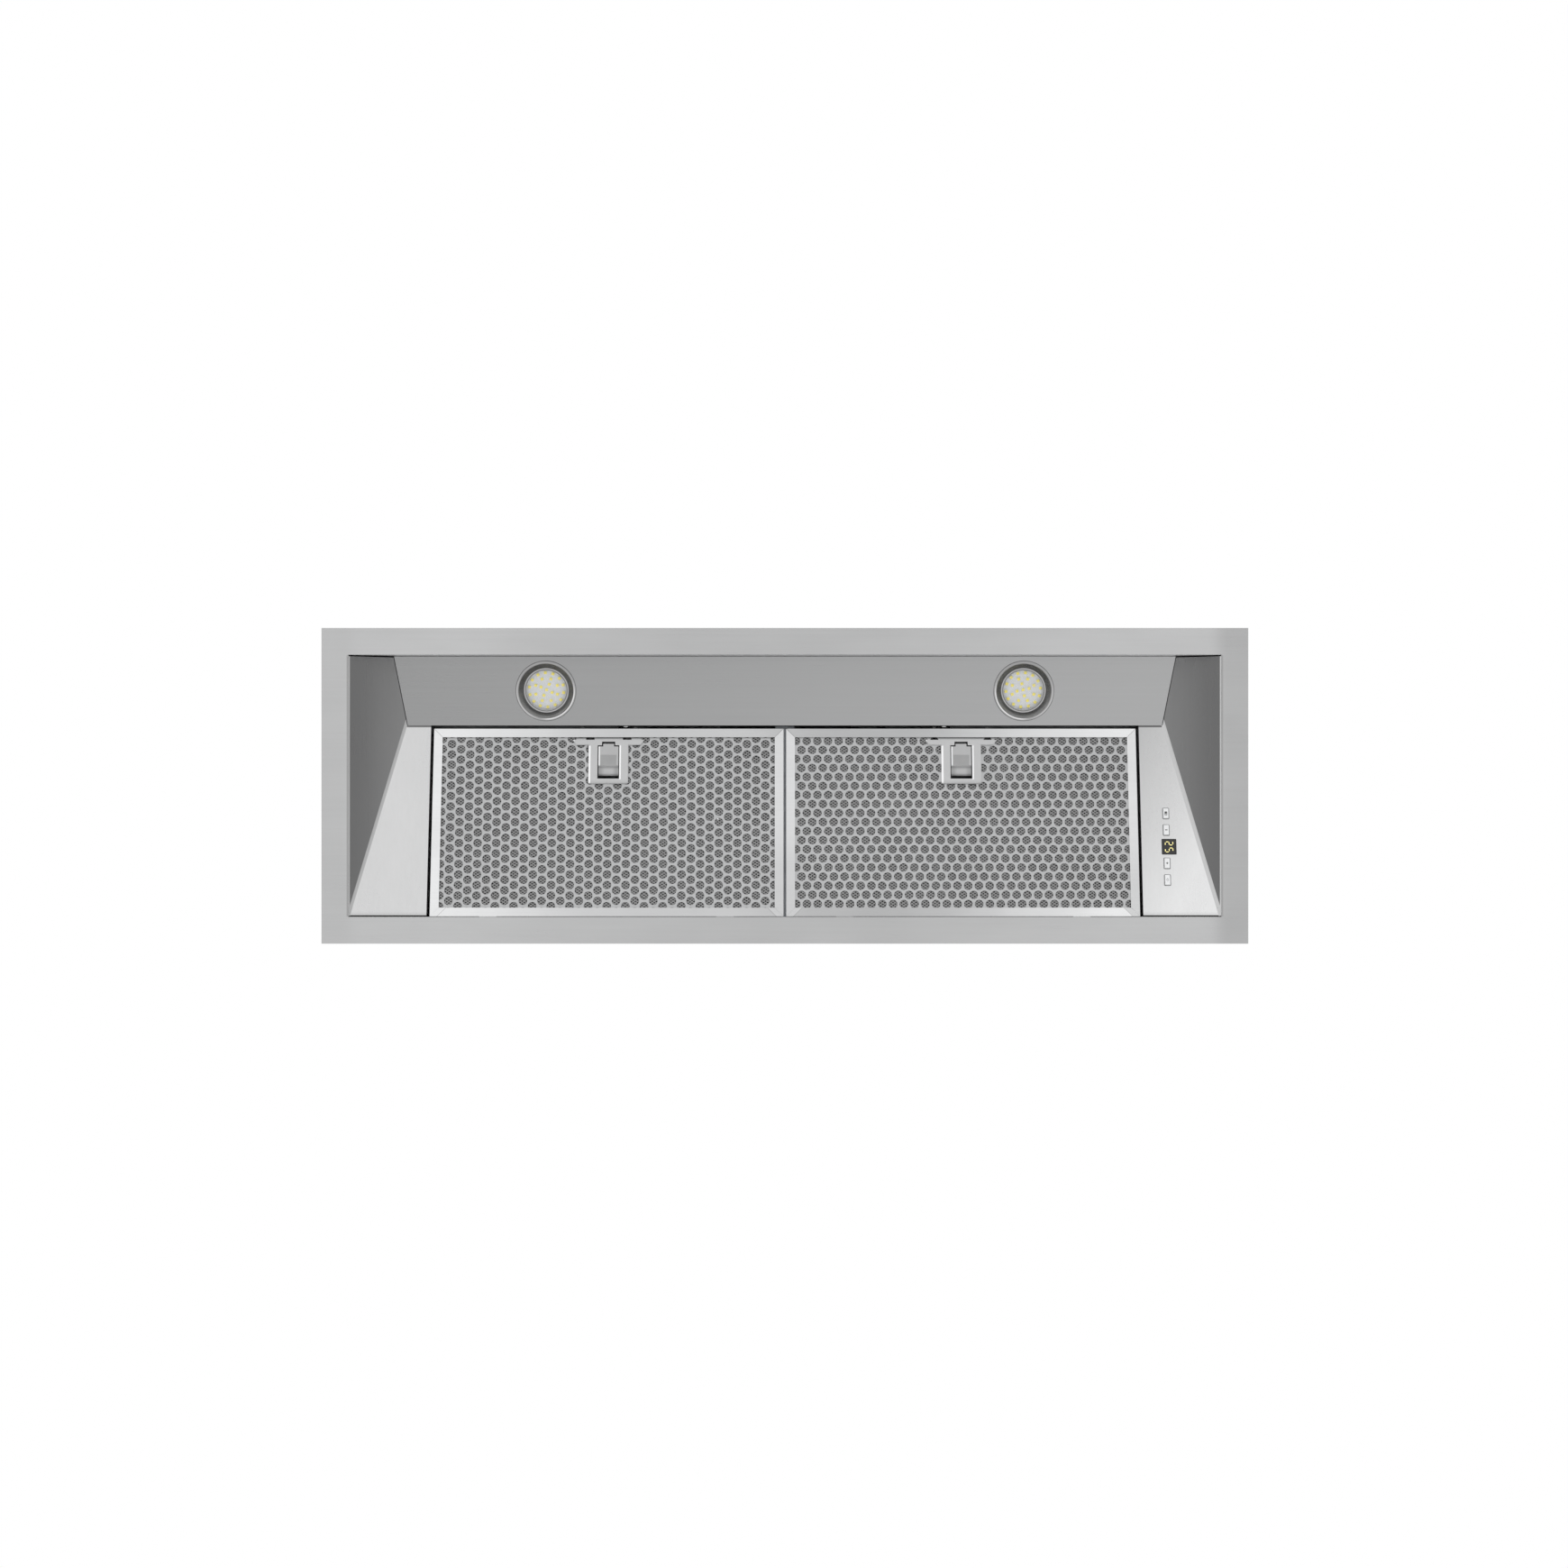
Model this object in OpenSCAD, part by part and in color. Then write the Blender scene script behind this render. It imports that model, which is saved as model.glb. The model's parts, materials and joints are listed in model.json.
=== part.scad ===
// Undermount range hood: a flanged steel tray with a sloped recess, two latched grease filters,
// two round lamps, a row of push buttons, and a blower in a housing on top of the tray.
// X is the width, +Y is the back, +Z is up. The origin is under the middle of the flange.

/* [Flange] */
// Width of the flange, left to right
rim_w = 860; // [840:1:900]
// Depth of the flange, front to back
rim_d = 293; // [286:1:310]
// Width of the flat strip round the opening
rim_strip = 25; // [20:0.5:27]
// Thickness of the steel sheet
sheet = 1; // [0.8:0.1:1.4]

/* [Recess] */
// Height of the light panel's front edge above the flange
front_rise = 32; // [26:0.5:36]
// Height of the fold between the light panel and the filters
fold_rise = 42; // [39:0.5:48]
// Front to back run of the light panel
light_run = 64.7; // [62:0.1:70]
// Sideways run of the sloped end walls at the height of the fold
side_run = 49.6; // [44:0.1:56]

/* [Filters] */
// Width of the side panel beside a filter, where it meets the flange
side_panel_w = 72.2; // [70.8:0.1:90]
// Gap between the two filters
filter_mid_gap = 2.6; // [1:0.1:6]
// Gap between a filter and the side panel
filter_side_gap = 3; // [1:0.1:6]
// Gap between the light panel and the filter's front edge
filter_front_gap = 3.2; // [2.6:0.1:5]
// Width of the filter's frame rails
rail = 8.2; // [7.4:0.1:9]
// Thickness of the filter's mesh pack
mesh_t = 5; // [4.8:0.1:6]
// Diameter of the face holes
hole_d = 8; // [6:0.1:8.8]
// Distance between the face holes
hole_pitch = 10; // [9.6:0.1:13]

/* [Latches] */
// Width of the latch bezel
latch_w = 37.4; // [34:0.1:44]
// Height of the latch bezel along the filter
latch_h = 42.4; // [41:0.1:48]
// Width of the bar across the top of the bezel
latch_bar_w = 67; // [58:0.5:80]
// Travel of the latch tab
latch_travel = 2.5; // [1.5:0.1:2.8]

/* [Lamps] */
// Distance of each lamp from the side of the opening
lamp_inset = 180.6; // [145:0.1:255]
// Radius of the lamp bezel
lamp_r = 28.5; // [27.5:0.1:30]
// Radius of the lamp's glass
lens_r = 20; // [17:0.1:20.6]

/* [Controls] */
// Distance of the button row from the side of the opening
control_inset = 48.9; // [47:0.1:53]
// Distance between neighbouring buttons
button_pitch = 15.85; // [15.2:0.05:17]
// Width of a button
button_w = 5.9; // [5:0.1:8]
// Length of a button along the row
button_h = 10.4; // [8:0.1:12]
// Travel of a button
button_travel = 0.5; // [0.3:0.1:0.6]

/* [Tray and housing] */
// Inset of the tray from the flange's edges
tray_inset = 15; // [13:0.5:18]
// Height of the tray's roof
tray_h = 90; // [86:1:110]
// Width of the motor housing
housing_w = 340; // [310:1:400]
// Inset of the motor housing from the tray's front and back
housing_inset = 13.5; // [12.5:0.5:14.5]
// Height of the motor housing
housing_h = 210; // [204:1:240]

/* [Outlet] */
// Outer radius of the outlet collar
collar_r = 74.5; // [74.3:0.1:78]
// Height of the outlet collar
collar_h = 45; // [40:1:70]

/* [Blower] */
// Radius of the impeller as a share of the housing's depth
wheel_share = 0.2627; // [0.246:0.0001:0.267]
// Width of the impeller
wheel_w = 116; // [100:1:118]
// Blades round the impeller
blade_count = 30; // [16:1:36]
// Inset of the motor from the impeller's rim
motor_inset = 18; // [17:0.5:26]
// Radius of the motor shaft
shaft_r = 4; // [3:0.1:4.5]

/* [Hidden] */

// Fineness of round shapes
$fn = 48;
hole_fn = 24;
rim_fn = 96;
wheel_fn = 72;
shaft_fn = 32;
cable_fn = 16;

// Overrun of every cut, gap between neighbours at rest, and running gap round moving pieces
cut = 1;
gap = 0.3;
run_gap = 0.25;

// Colours as the photograph shows them
steel = [0.72, 0.72, 0.72];
zinc = [0.62, 0.64, 0.66];
aluminium = [0.8, 0.81, 0.82];
plastic_black = [0.1, 0.1, 0.11];
plastic_light = [0.9, 0.9, 0.9];
glass_white = [0.8, 0.82, 0.84];
board_green = [0.1, 0.35, 0.2];

// Sizes worked out from the flange and the recess
open_w = rim_w - 2 * rim_strip;
open_d = rim_d - 2 * rim_strip;
y_front = -open_d / 2;
y_back = open_d / 2;
y_fold = y_front + light_run;
back_rise = 0.8 * sheet;
light_tilt = atan((fold_rise - front_rise) / light_run);
light_len = light_run / cos(light_tilt);
filter_tilt = atan((fold_rise - back_rise) / (y_back - y_fold));
slope_len = (y_back - y_fold) / cos(filter_tilt);
edge_bevel = 0.5 * sheet;
panel_fold = 14;
tray_w = rim_w - 2 * tray_inset;
tray_d = rim_d - 2 * tray_inset;
hem_gap = 3;
hem_w = tray_inset - hem_gap;
hem_top = 2 * sheet;

// Half width of the recess at a height, height of the light panel, and back end of the filter plane
function x_side(z) = open_w / 2 - side_run * z / fold_rise;
function z_light(y) = front_rise + (y - y_front) * tan(light_tilt);
function y_slope(z) = y_fold + (fold_rise - z) / tan(filter_tilt);
function unit(a) = a / norm(a);

// Side liners
liner_front_gap = 1.2;
panel_side_gap = 0.7;
foot_w = 8;
lip_h = 10;
bend_w = 1.7;
wall_overlap = 1.2 * sheet;
side_inner = open_w / 2 - side_panel_w;
filter_w = side_inner - filter_side_gap - filter_mid_gap / 2;

// Filters
frame_wall = 0.8;
face_t = 0.8;
grid_t = 0.8;
frame_t = 2 * frame_wall + face_t + mesh_t + grid_t + gap;
filter_back_gap = 0.4;
filter_len = slope_len - filter_front_gap - filter_back_gap;
filter_end = filter_front_gap + filter_len;
filter_x = (filter_mid_gap + filter_w) / 2;
pack_gap = 0.4;
mitre_w = 0.35;
mitre_depth = 0.4;
hook_w = 16;
hook_reach = 7;
hook_t = 1.2;
hook_share = 0.67;
hook_spacing = hook_share * filter_w;
grid_columns = 12;
grid_rows = 6;
grid_bar = 3;
face_z = frame_wall;
mesh_z = face_z + face_t;
grid_z = mesh_z + mesh_t;

// Latches: places along the filter are measured from the fold line
latch_start = 14;
bezel_raise = 1.2;
bezel_round = 1.5;
bezel_step = 0.5;
bar_h = 5.2;
bar_slant = 3;
latch_end = latch_start + latch_h;
window_w = 20.4;
window_edge = 2;
window_foot = 4.8;
window_start = latch_start + window_edge;
window_end = latch_end - window_foot;
tongue_slot_w = 12.4;
tongue_slot_h = 3.5;
box_wall = 1.5;
box_h = 5.7;
cavity_room = 1.6;
cavity_w = window_w + 2 * cavity_room;
tab_w = 18.6;
tab_front_room = 4.4;
tab_back_room = 3;
tab_start = window_start + tab_front_room;
tab_end = window_end - tab_back_room;
tab_face_z = -0.2;
wing_z = face_z + gap;
wing_gap = 0.4;
wing_w = cavity_w - 2 * wing_gap;
tab_t = 4.4;
tongue_w = 10.2;
tongue_h = 2.5;
thumb_w = 14.9;
thumb_lead = 8.2;
thumb_start = tab_start + thumb_lead;
thumb_h = 9.7;
thumb_depth = 0.3;
scoop_lead = 1;
scoop_start = thumb_start + thumb_h + scoop_lead;
scoop_r = 6.6;
scoop_lift = 3.9;
slider_lift = 0.8;
slider_z = mesh_z + slider_lift;
slider_t = 1.8;
bar_reach = 27;
bar_depth = 3;
bar_lead = 2;
bar_start = filter_front_gap + bar_lead;
nose_x = 25;
nose_w = 3;
nose_reach = 2.2;
spring_x = 9;
spring_r = 1.6;
spring_wire = 0.5;
spring_slack = 0.1;
spring_gap = latch_travel + spring_slack;
notch_room = 3;
notch_w = 2 * (bar_reach + notch_room);

// Lamps: heights are measured from the light panel's lower face
lamp_x = open_w / 2 - lamp_inset;
bezel_lip = 0.9;
bezel_mouth_r = 26;
cone_flare = 1.2;
cone_end_r = lens_r + cone_flare;
cone_depth = 4.2;
ledge_w = 1.1;
ledge_h = 1.1;
lens_t = 1.4;
bezel_tube_r = 24.6;
bezel_tube_h = 10;
board_t = 1.2;
chip_size = 2.8;
chip_t = 0.5;
// Each ring of chips: how many, its radius as a share of the glass, and the turn of its first chip
chip_ring_shares = [[1, 0, 0], [4, 0.28, 27], [8, 0.55, 22.5], [14, 0.82, 90]];
can_h = 12;
fin_groove = 1.5;
fin_depth = 2.5;
fin_count = 3;
spring_arm_w = 8;
spring_arm_t = 0.8;
spring_arm_reach = 13;
spring_arm_rise = 7;

// Controls: heights are measured from the side panel's lower face
control_x = open_w / 2 - control_inset;
control_share = 0.6372;
control_mid = control_share * slope_len;
button_raise = 1.2;
button_bevel = 0.6;
button_stem_end = 4;
button_collar = 0.9;
button_collar_t = 0.8;
display_w = 13.3;
display_h = 14.5;
display_shift = 2.3;
display_edge = 0.9;
board_z = 9;
control_board_t = 1.6;
carrier_w = 26;
carrier_end_share = 0.0656;
carrier_end_room = carrier_end_share * slope_len;
carrier_wall = 2;
switch_w = 6;
switch_gap = 0.2;
corner_r = 0.8;

// Tray, channel and brackets
channel_y = y_fold - sheet;
bracket_inset = 115;
bracket_x = tray_w / 2 - bracket_inset;
bracket_w = 40;
board_thick = 19;
bracket_t = 1.5;
bracket_leaf = 14;
bracket_rise = 30;
bracket_hole_r = 2.25;
bracket_hole_y = 8.4;

// Blower: the wheel's axis lies along X
z_roof = tray_h + housing_h;
housing_d = tray_d - 2 * housing_inset;
foot_gap = 2.5;
housing_foot = housing_inset - foot_gap;
wheel_r = wheel_share * housing_d;
wheel_shift_share = 0.1356;
wheel_y = -wheel_shift_share * housing_d;
scroll_gap = 6;
scroll_r = wheel_r + scroll_gap;
scroll_grow_share = 0.5807;
scroll_grow = scroll_grow_share * wheel_r;
cutoff = 70;
lowest = 270;
scroll_floor = 7.2;
wheel_rise = scroll_r + scroll_grow * (lowest - cutoff) / (360 - cutoff) + scroll_floor;
wheel_z = tray_h + wheel_rise;
motor_r = wheel_r - motor_inset;
cheek_gap = 3;
scroll_half = wheel_w / 2 + cheek_gap;
scroll_step = 10;
inlet_inset = 9;
inlet_r = wheel_r - inlet_inset;
inlet_lip = 1.5;
duct_left = wheel_y + scroll_r * cos(cutoff);
duct_right = wheel_y + scroll_r + scroll_grow;
outlet_y = (duct_left + duct_right) / 2;
blade_gap = 5;
blade_in = motor_r + blade_gap;
blade_inset = 1;
blade_out = wheel_r - blade_inset;
blade_t = 1.2;
blade_lean = 18;
ring_w = 5;
ring_t = 3;
hub_r = 9;
hub_l = 12;
disc_t = 2;
disc_inset = 2;
disc_r = blade_out - disc_inset;
bearing_r = 11;
bearing_l = 7;
bearing_gap = 0.05;
motor_x = 6;
motor_l = wheel_w / 2 - motor_x;
motor_bore_gap = 2;
motor_bore_r = shaft_r + motor_bore_gap;
bush_r = 5;
bush_inset = 10;
bush_ring_r = motor_r - bush_inset;
bracket_ring_w = 18;
bracket_ring_in = motor_r - bracket_ring_w;
arm_w = 14;
arm_past_inlet = 10;
arm_reach = inlet_r + arm_past_inlet;
arm_t = 2;
arm_count = 3;
arm_turn = 30;
shaft_past_hub = 2;
shaft_tail = hub_l + shaft_past_hub;

// Outlet collar and damper
collar_wall = 1.2;
collar_foot = 11.5;
collar_foot_t = 1.5;
damper_rise = 20;
damper_z = z_roof + damper_rise;
rod_r = 2;
rod_gap = 0.08;
rod_inset = 0.04;
flap_t = 1.2;
flap_gap = 2;
flap_r = collar_r - collar_wall - flap_gap;
hinge_inset = 6;
knuckle_r = 3.6;
knuckle_count = 6;
ledge_rise = 4.8;
ledge_t = 2;
ledge_reach = 3;

// Screws
screw_r = 1.9;
screw_hole_r = 2.2;
screw_head_r = 3.4;
screw_head_h = 2;
screw_l = 7;
housing_screw_shares = [-0.42, -0.14, 0.14, 0.42];
panel_screw_inset = 255;
panel_screw_x = open_w / 2 - panel_screw_inset;
panel_screw_rise = 8.4;
collar_screw_edge = 4;
collar_screw_r = collar_r + collar_foot - collar_screw_edge;

// Electrics on the tray
terminal_w = 100;
terminal_d = 80;
terminal_h = 36;
terminal_wall = 2;
terminal_inset = 70;
terminal_x = terminal_inset - tray_w / 2;
cover_t = 2;
cover_skirt = 5;
gland_r = 8;
gland_bore_r = 4;
gland_l = 18;
gland_flange_r = 11;
gland_flange_t = 3;
capacitor_r = 14;
capacitor_h = 58;
capacitor_gap = 8;
capacitor_x = -(housing_w / 2 + housing_foot + capacitor_gap + capacitor_r);
driver_w = 120;
driver_d = 22;
driver_h = 33;
driver_lift = 8;
driver_z = fold_rise + driver_lift;
cable_r = 1.5;
cable_lift = 3;
cable_z = driver_z + cable_lift;
cable_inset = 4;
cable_y = channel_y - sheet - driver_d + cable_inset;

// Frames of reference on the sloped faces
module in_light_plane() {
  translate([0, y_front, front_rise]) rotate([light_tilt, 0, 0]) children();
}

module in_filter_plane() {
  translate([0, y_fold, fold_rise]) rotate([-filter_tilt, 0, 0]) children();
}

// A box centred in X and Y between two heights
module block(w, d, z0, z1) {
  translate([-w / 2, -d / 2, z0]) cube([w, d, z1 - z0]);
}

// A box centred in X, from y0 to y1 and from z0 to z1
module bar(w, y0, y1, z0, z1) {
  translate([-w / 2, y0, z0]) cube([w, y1 - y0, z1 - z0]);
}

// A flat outline in the YZ plane, carried along X from x0 to x1
module along_x(x0, x1) {
  translate([x0, 0, 0]) rotate([90, 0, 90]) linear_extrude(x1 - x0) children();
}

// A flat sheet through the given corners, with its thickness on the side that up points to
module plate(corners, up, t = sheet) {
  along = unit(corners[1] - corners[0]);
  raw = cross(along, corners[2] - corners[0]);
  normal = unit(raw) * sign(raw * up);
  across = cross(normal, along);
  origin = corners[0];
  multmatrix([
    [along.x, across.x, normal.x, origin.x],
    [along.y, across.y, normal.y, origin.y],
    [along.z, across.z, normal.z, origin.z]])
    linear_extrude(t)
      polygon([for (p = corners) [(p - origin) * along, (p - origin) * across]]);
}

// A rectangle with round corners
module rounded(w, h, r) {
  square([w - 2 * r, h], center = true);
  square([w, h - 2 * r], center = true);
  for (sx = [-1, 1], sy = [-1, 1])
    translate([sx * (w / 2 - r), sy * (h / 2 - r)]) circle(r, $fn = hole_fn);
}

// A pan head screw pointing down from the origin
module screw() {
  cylinder(h = screw_head_h, r = screw_head_r, $fn = hole_fn);
  translate([0, 0, -screw_l]) cylinder(h = screw_l + screw_head_h / 2, r = screw_r, $fn = hole_fn);
}

// Flange and front wall
module flange_frame() {
  color(steel) difference() {
    union() {
      block(rim_w, rim_d, 0, sheet);
      hem();
      bar(open_w, y_front - sheet, y_front, 0, front_rise + panel_fold);
    }
    block(open_w, open_d, -cut, sheet + cut);
    intersection() {
      rotate([90, 0, 0]) linear_extrude(rim_d, center = true) bevel_outline(open_w / 2);
      rotate([90, 0, 90]) linear_extrude(rim_w, center = true) bevel_outline(open_d / 2);
    }
  }
}

// Edge of the flange, folded back on itself
module hem() {
  difference() {
    block(rim_w, rim_d, sheet / 2, hem_top);
    block(rim_w - 2 * hem_w, rim_d - 2 * hem_w, 0, hem_top + cut);
  }
}

// Section of the cut that breaks the opening's lower edge
module bevel_outline(half) {
  wide = half + edge_bevel + cut;
  polygon([[-wide, -cut], [wide, -cut], [half, edge_bevel], [-half, edge_bevel]]);
}

// Light panel with its folds and lamp holes
light_front_half = x_side(front_rise) - panel_side_gap;
light_back_half = x_side(fold_rise) - panel_side_gap;
light_fold_inset = 10;
light_fold_half = light_back_half - light_fold_inset;

module light_panel() {
  color(steel) difference() {
    union() {
      in_light_plane() linear_extrude(sheet) polygon([
        [-light_front_half, gap], [light_front_half, gap],
        [light_back_half, light_len], [-light_back_half, light_len]]);
      bar(2 * light_fold_half, y_front + gap, y_front + gap + sheet,
        front_rise + sheet / 2, front_rise + panel_fold);
      bar(2 * light_fold_half, y_fold - sheet, y_fold,
        fold_rise + sheet / 2, fold_rise + panel_fold);
    }
    for (s = [-1, 1]) at_lamp(s)
      translate([0, 0, -cut]) cylinder(h = sheet + 2 * cut, r = bezel_mouth_r + gap);
    for (s = [-1, 1]) panel_screw_place(s)
      translate([0, 0, -screw_l]) cylinder(h = 2 * screw_l, r = screw_hole_r, $fn = hole_fn);
  }
}

module at_lamp(s) {
  in_light_plane() translate([s * lamp_x, light_len / 2, 0]) children();
}

module panel_screw_place(s) {
  translate([s * panel_screw_x, y_fold, fold_rise + panel_screw_rise]) rotate([-90, 0, 0]) children();
}

// Sloped end wall, folded into the side panel beside a filter
module side_liner_shape() {
  z_foot = sheet;
  y_start = y_front + liner_front_gap;
  y_end = y_slope(z_foot);
  wall_low = [x_side(z_foot), y_start, z_foot];
  wall_high = [x_side(z_light(y_start)), y_start, z_light(y_start)];
  fold_high = [x_side(fold_rise), y_fold, fold_rise];
  fold_low = [x_side(z_foot), y_end, z_foot];
  wall_up = unit([fold_rise, 0, side_run]);
  panel_up = [0, sin(filter_tilt), cos(filter_tilt)];
  fold_dir = unit(fold_low - fold_high);
  wall_in = -cross(fold_dir, wall_up);
  panel_in = -cross(fold_dir, panel_up);
  bend_low = fold_low - fold_dir * foot_w;
  plate([wall_low, wall_high, fold_high, fold_high + wall_in * wall_overlap,
    fold_low + wall_in * wall_overlap, fold_low], wall_up);
  plate([fold_high, fold_low, [side_inner, y_end, z_foot], [side_inner, y_fold, fold_rise]],
    panel_up);
  plate([fold_high - wall_in * bend_w, bend_low - wall_in * bend_w,
    bend_low + panel_in * bend_w, fold_high + panel_in * bend_w], panel_up);
  translate([x_side(z_foot), y_start, z_foot]) cube([foot_w, y_end - y_start, sheet]);
  panel_len = (y_end - y_fold) / cos(filter_tilt);
  in_filter_plane() {
    translate([side_inner, 0, 0]) cube([sheet, panel_len, lip_h]);
    translate([side_inner, panel_len - sheet, 0])
      cube([x_side(z_foot) - side_inner - foot_w, sheet, lip_h / 2]);
  }
}

module side_liner_left() {
  color(steel) mirror([1, 0, 0]) side_liner_shape();
}

module side_liner_right() {
  color(steel) difference() {
    side_liner_shape();
    for (i = [-2, -1, 1, 2]) at_control(i)
      translate([0, 0, -cut]) linear_extrude(lip_h)
        rounded(button_w + 2 * run_gap, button_h + 2 * run_gap, corner_r + run_gap);
    at_control(0) translate([display_shift, 0, -cut])
      linear_extrude(lip_h) rounded(display_w + 2 * run_gap, display_h + 2 * run_gap, corner_r);
  }
}

module at_control(i) {
  in_filter_plane() translate([control_x, control_mid + i * button_pitch, 0]) children();
}

// Wall between the lamp channel and the air path
module channel_wall() {
  color(zinc) difference() {
    bar(tray_w - 2 * sheet - 2 * gap, channel_y - sheet, channel_y,
      fold_rise + sheet + gap, tray_h - sheet - gap);
    for (s = [-1, 1]) panel_screw_place(s)
      translate([0, 0, -screw_l]) cylinder(h = 2 * screw_l, r = screw_hole_r, $fn = hole_fn);
  }
}

// Tray above the flange, open below and under the motor housing
module tray_shell() {
  color(zinc) difference() {
    block(tray_w, tray_d, sheet, tray_h);
    block(tray_w - 2 * sheet, tray_d - 2 * sheet, 0, tray_h - sheet);
    block(housing_w - 2 * housing_foot, housing_d - 2 * housing_foot, 0, tray_h + cut);
    housing_screw_places() translate([0, 0, -cut - sheet * 2])
      cylinder(h = screw_l, r = screw_hole_r, $fn = hole_fn);
    translate([terminal_x, 0, 0]) cylinder(h = tray_h + cut, r = gland_bore_r);
  }
}

module housing_screw_places() {
  for (s = [-1, 1], share = housing_screw_shares)
    translate([share * housing_w, s * (housing_d + housing_foot) / 2, tray_h + sheet]) children();
}

// Channel that covers the gap between the filters from above
module centre_rail() {
  rail_half = 9;
  rail_h = 10;
  rail_lift = 0.5;
  z0 = frame_t + rail_lift;
  lead = z0 * tan(filter_tilt) - gap;
  back = (tray_d / 2 - sheet - gap - y_fold) / cos(filter_tilt) - (z0 + rail_h) * tan(filter_tilt);
  color(zinc) in_filter_plane() difference() {
    translate([-rail_half, -lead, z0]) cube([2 * rail_half, lead + back, rail_h]);
    translate([-rail_half + sheet, -lead - cut, z0 + sheet])
      cube([2 * (rail_half - sheet), lead + back + 2 * cut, rail_h]);
  }
}

// Four angles that hold the hood on the cabinet's base board
module mount_brackets() {
  z0 = hem_top + board_thick;
  color(zinc) for (sx = [-1, 1], sy = [-1, 1])
    translate([sx * bracket_x, sy * tray_d / 2, 0]) mirror([0, sy < 0 ? 1 : 0, 0]) difference() {
      union() {
        bar(bracket_w, 0, bracket_t, z0, z0 + bracket_rise);
        bar(bracket_w, 0, bracket_leaf, z0, z0 + bracket_t);
      }
      translate([0, bracket_hole_y, z0 - cut])
        cylinder(h = bracket_t + 2 * cut, r = bracket_hole_r);
    }
}

// Housing round the blower: a folded wrap, and a panel with a foot at the front and the back
module motor_housing() {
  color(zinc) difference() {
    union() {
      block(housing_w, housing_d, tray_h, z_roof);
      block(housing_w + 2 * housing_foot, housing_d, tray_h, tray_h + sheet);
    }
    block(housing_w - 2 * sheet, housing_d + 2 * cut, tray_h - cut, z_roof - sheet);
    translate([0, outlet_y, z_roof - sheet - cut])
      cylinder(h = sheet + 2 * cut, r = collar_r - collar_wall);
    collar_screw_places() translate([0, 0, -screw_l])
      cylinder(h = screw_l + cut, r = screw_hole_r, $fn = hole_fn);
  }
}

module housing_end() {
  end_w = housing_w - 2 * sheet - 2 * gap;
  difference() {
    union() {
      bar(end_w, housing_d / 2 - sheet, housing_d / 2, tray_h, z_roof - sheet - gap);
      bar(end_w, housing_d / 2 - sheet, housing_d / 2 + housing_foot, tray_h, tray_h + sheet);
    }
    housing_screw_places() translate([0, 0, -sheet - cut])
      cylinder(h = sheet + 2 * cut, r = screw_hole_r, $fn = hole_fn);
  }
}

module housing_front() {
  color(zinc) mirror([0, 1, 0]) housing_end();
}

module housing_back() {
  color(zinc) housing_end();
}

module collar_screw_places() {
  for (a = [45:90:315])
    translate([0, outlet_y, z_roof + collar_foot_t]) rotate([0, 0, a])
      translate([collar_screw_r, 0, 0]) children();
}

module sheet_screws() {
  color(aluminium) {
    housing_screw_places() screw();
    collar_screw_places() screw();
    for (s = [-1, 1]) panel_screw_place(s) screw();
  }
}

// Outlet
module outlet_collar() {
  color(zinc) difference() {
    translate([0, outlet_y, z_roof]) {
      cylinder(h = collar_h, r = collar_r, $fn = rim_fn);
      cylinder(h = collar_foot_t, r = collar_r + collar_foot, $fn = rim_fn);
    }
    translate([0, outlet_y, damper_z - ledge_rise]) difference() {
      translate([0, 0, -collar_h]) cylinder(h = 3 * collar_h, r = collar_r - collar_wall, $fn = rim_fn);
      difference() {
        cylinder(h = ledge_t, r = collar_r, $fn = rim_fn);
        translate([0, 0, -cut])
          cylinder(h = ledge_t + 2 * cut, r = collar_r - collar_wall - ledge_reach, $fn = rim_fn);
      }
    }
    translate([-collar_r - cut, outlet_y, damper_z]) rotate([0, 90, 0])
      cylinder(h = 2 * (collar_r + cut), r = rod_r + rod_gap, $fn = hole_fn);
    collar_screw_places() translate([0, 0, -screw_l])
      cylinder(h = screw_l + cut, r = screw_hole_r, $fn = hole_fn);
  }
}

module damper_rod() {
  color(aluminium) translate([rod_inset - collar_r, outlet_y, damper_z]) rotate([0, 90, 0])
    cylinder(h = 2 * (collar_r - rod_inset), r = rod_r, $fn = hole_fn);
}

// Half disc with every second knuckle on the rod: side is -1 at the front and 1 at the back
module damper_flap(side) {
  hinge_len = 2 * (flap_r - hinge_inset);
  step = hinge_len / knuckle_count;
  first = side < 0 ? 0 : 1;
  translate([0, outlet_y, damper_z]) difference() {
    union() {
      difference() {
        translate([0, 0, -flap_t / 2]) cylinder(h = flap_t, r = flap_r, $fn = rim_fn);
        translate([-collar_r, side > 0 ? -2 * collar_r + knuckle_r : -knuckle_r, -collar_h])
          cube([2 * collar_r, 2 * collar_r, 2 * collar_h]);
      }
      for (k = [first:2:knuckle_count - 1])
        translate([-hinge_len / 2 + k * step + run_gap, 0, 0]) {
          rotate([0, 90, 0]) cylinder(h = step - 2 * run_gap, r = knuckle_r);
          translate([0, side > 0 ? 0 : -knuckle_r - cut, -flap_t / 2])
            cube([step - 2 * run_gap, knuckle_r + cut, flap_t]);
        }
    }
    translate([-collar_r, 0, 0]) rotate([0, 90, 0])
      cylinder(h = 2 * collar_r, r = rod_r + rod_gap, $fn = hole_fn);
  }
}

module damper_front() {
  color(plastic_black) damper_flap(-1);
}

module damper_back() {
  color(plastic_black) damper_flap(1);
}

// Spiral of the blower casing, grown outwards by t
function scroll_at(a) = scroll_r + scroll_grow * (a - cutoff) / (360 - cutoff);

function scroll_point(a, t) = (scroll_at(a) + t) * [cos(a), sin(a)];

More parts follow.
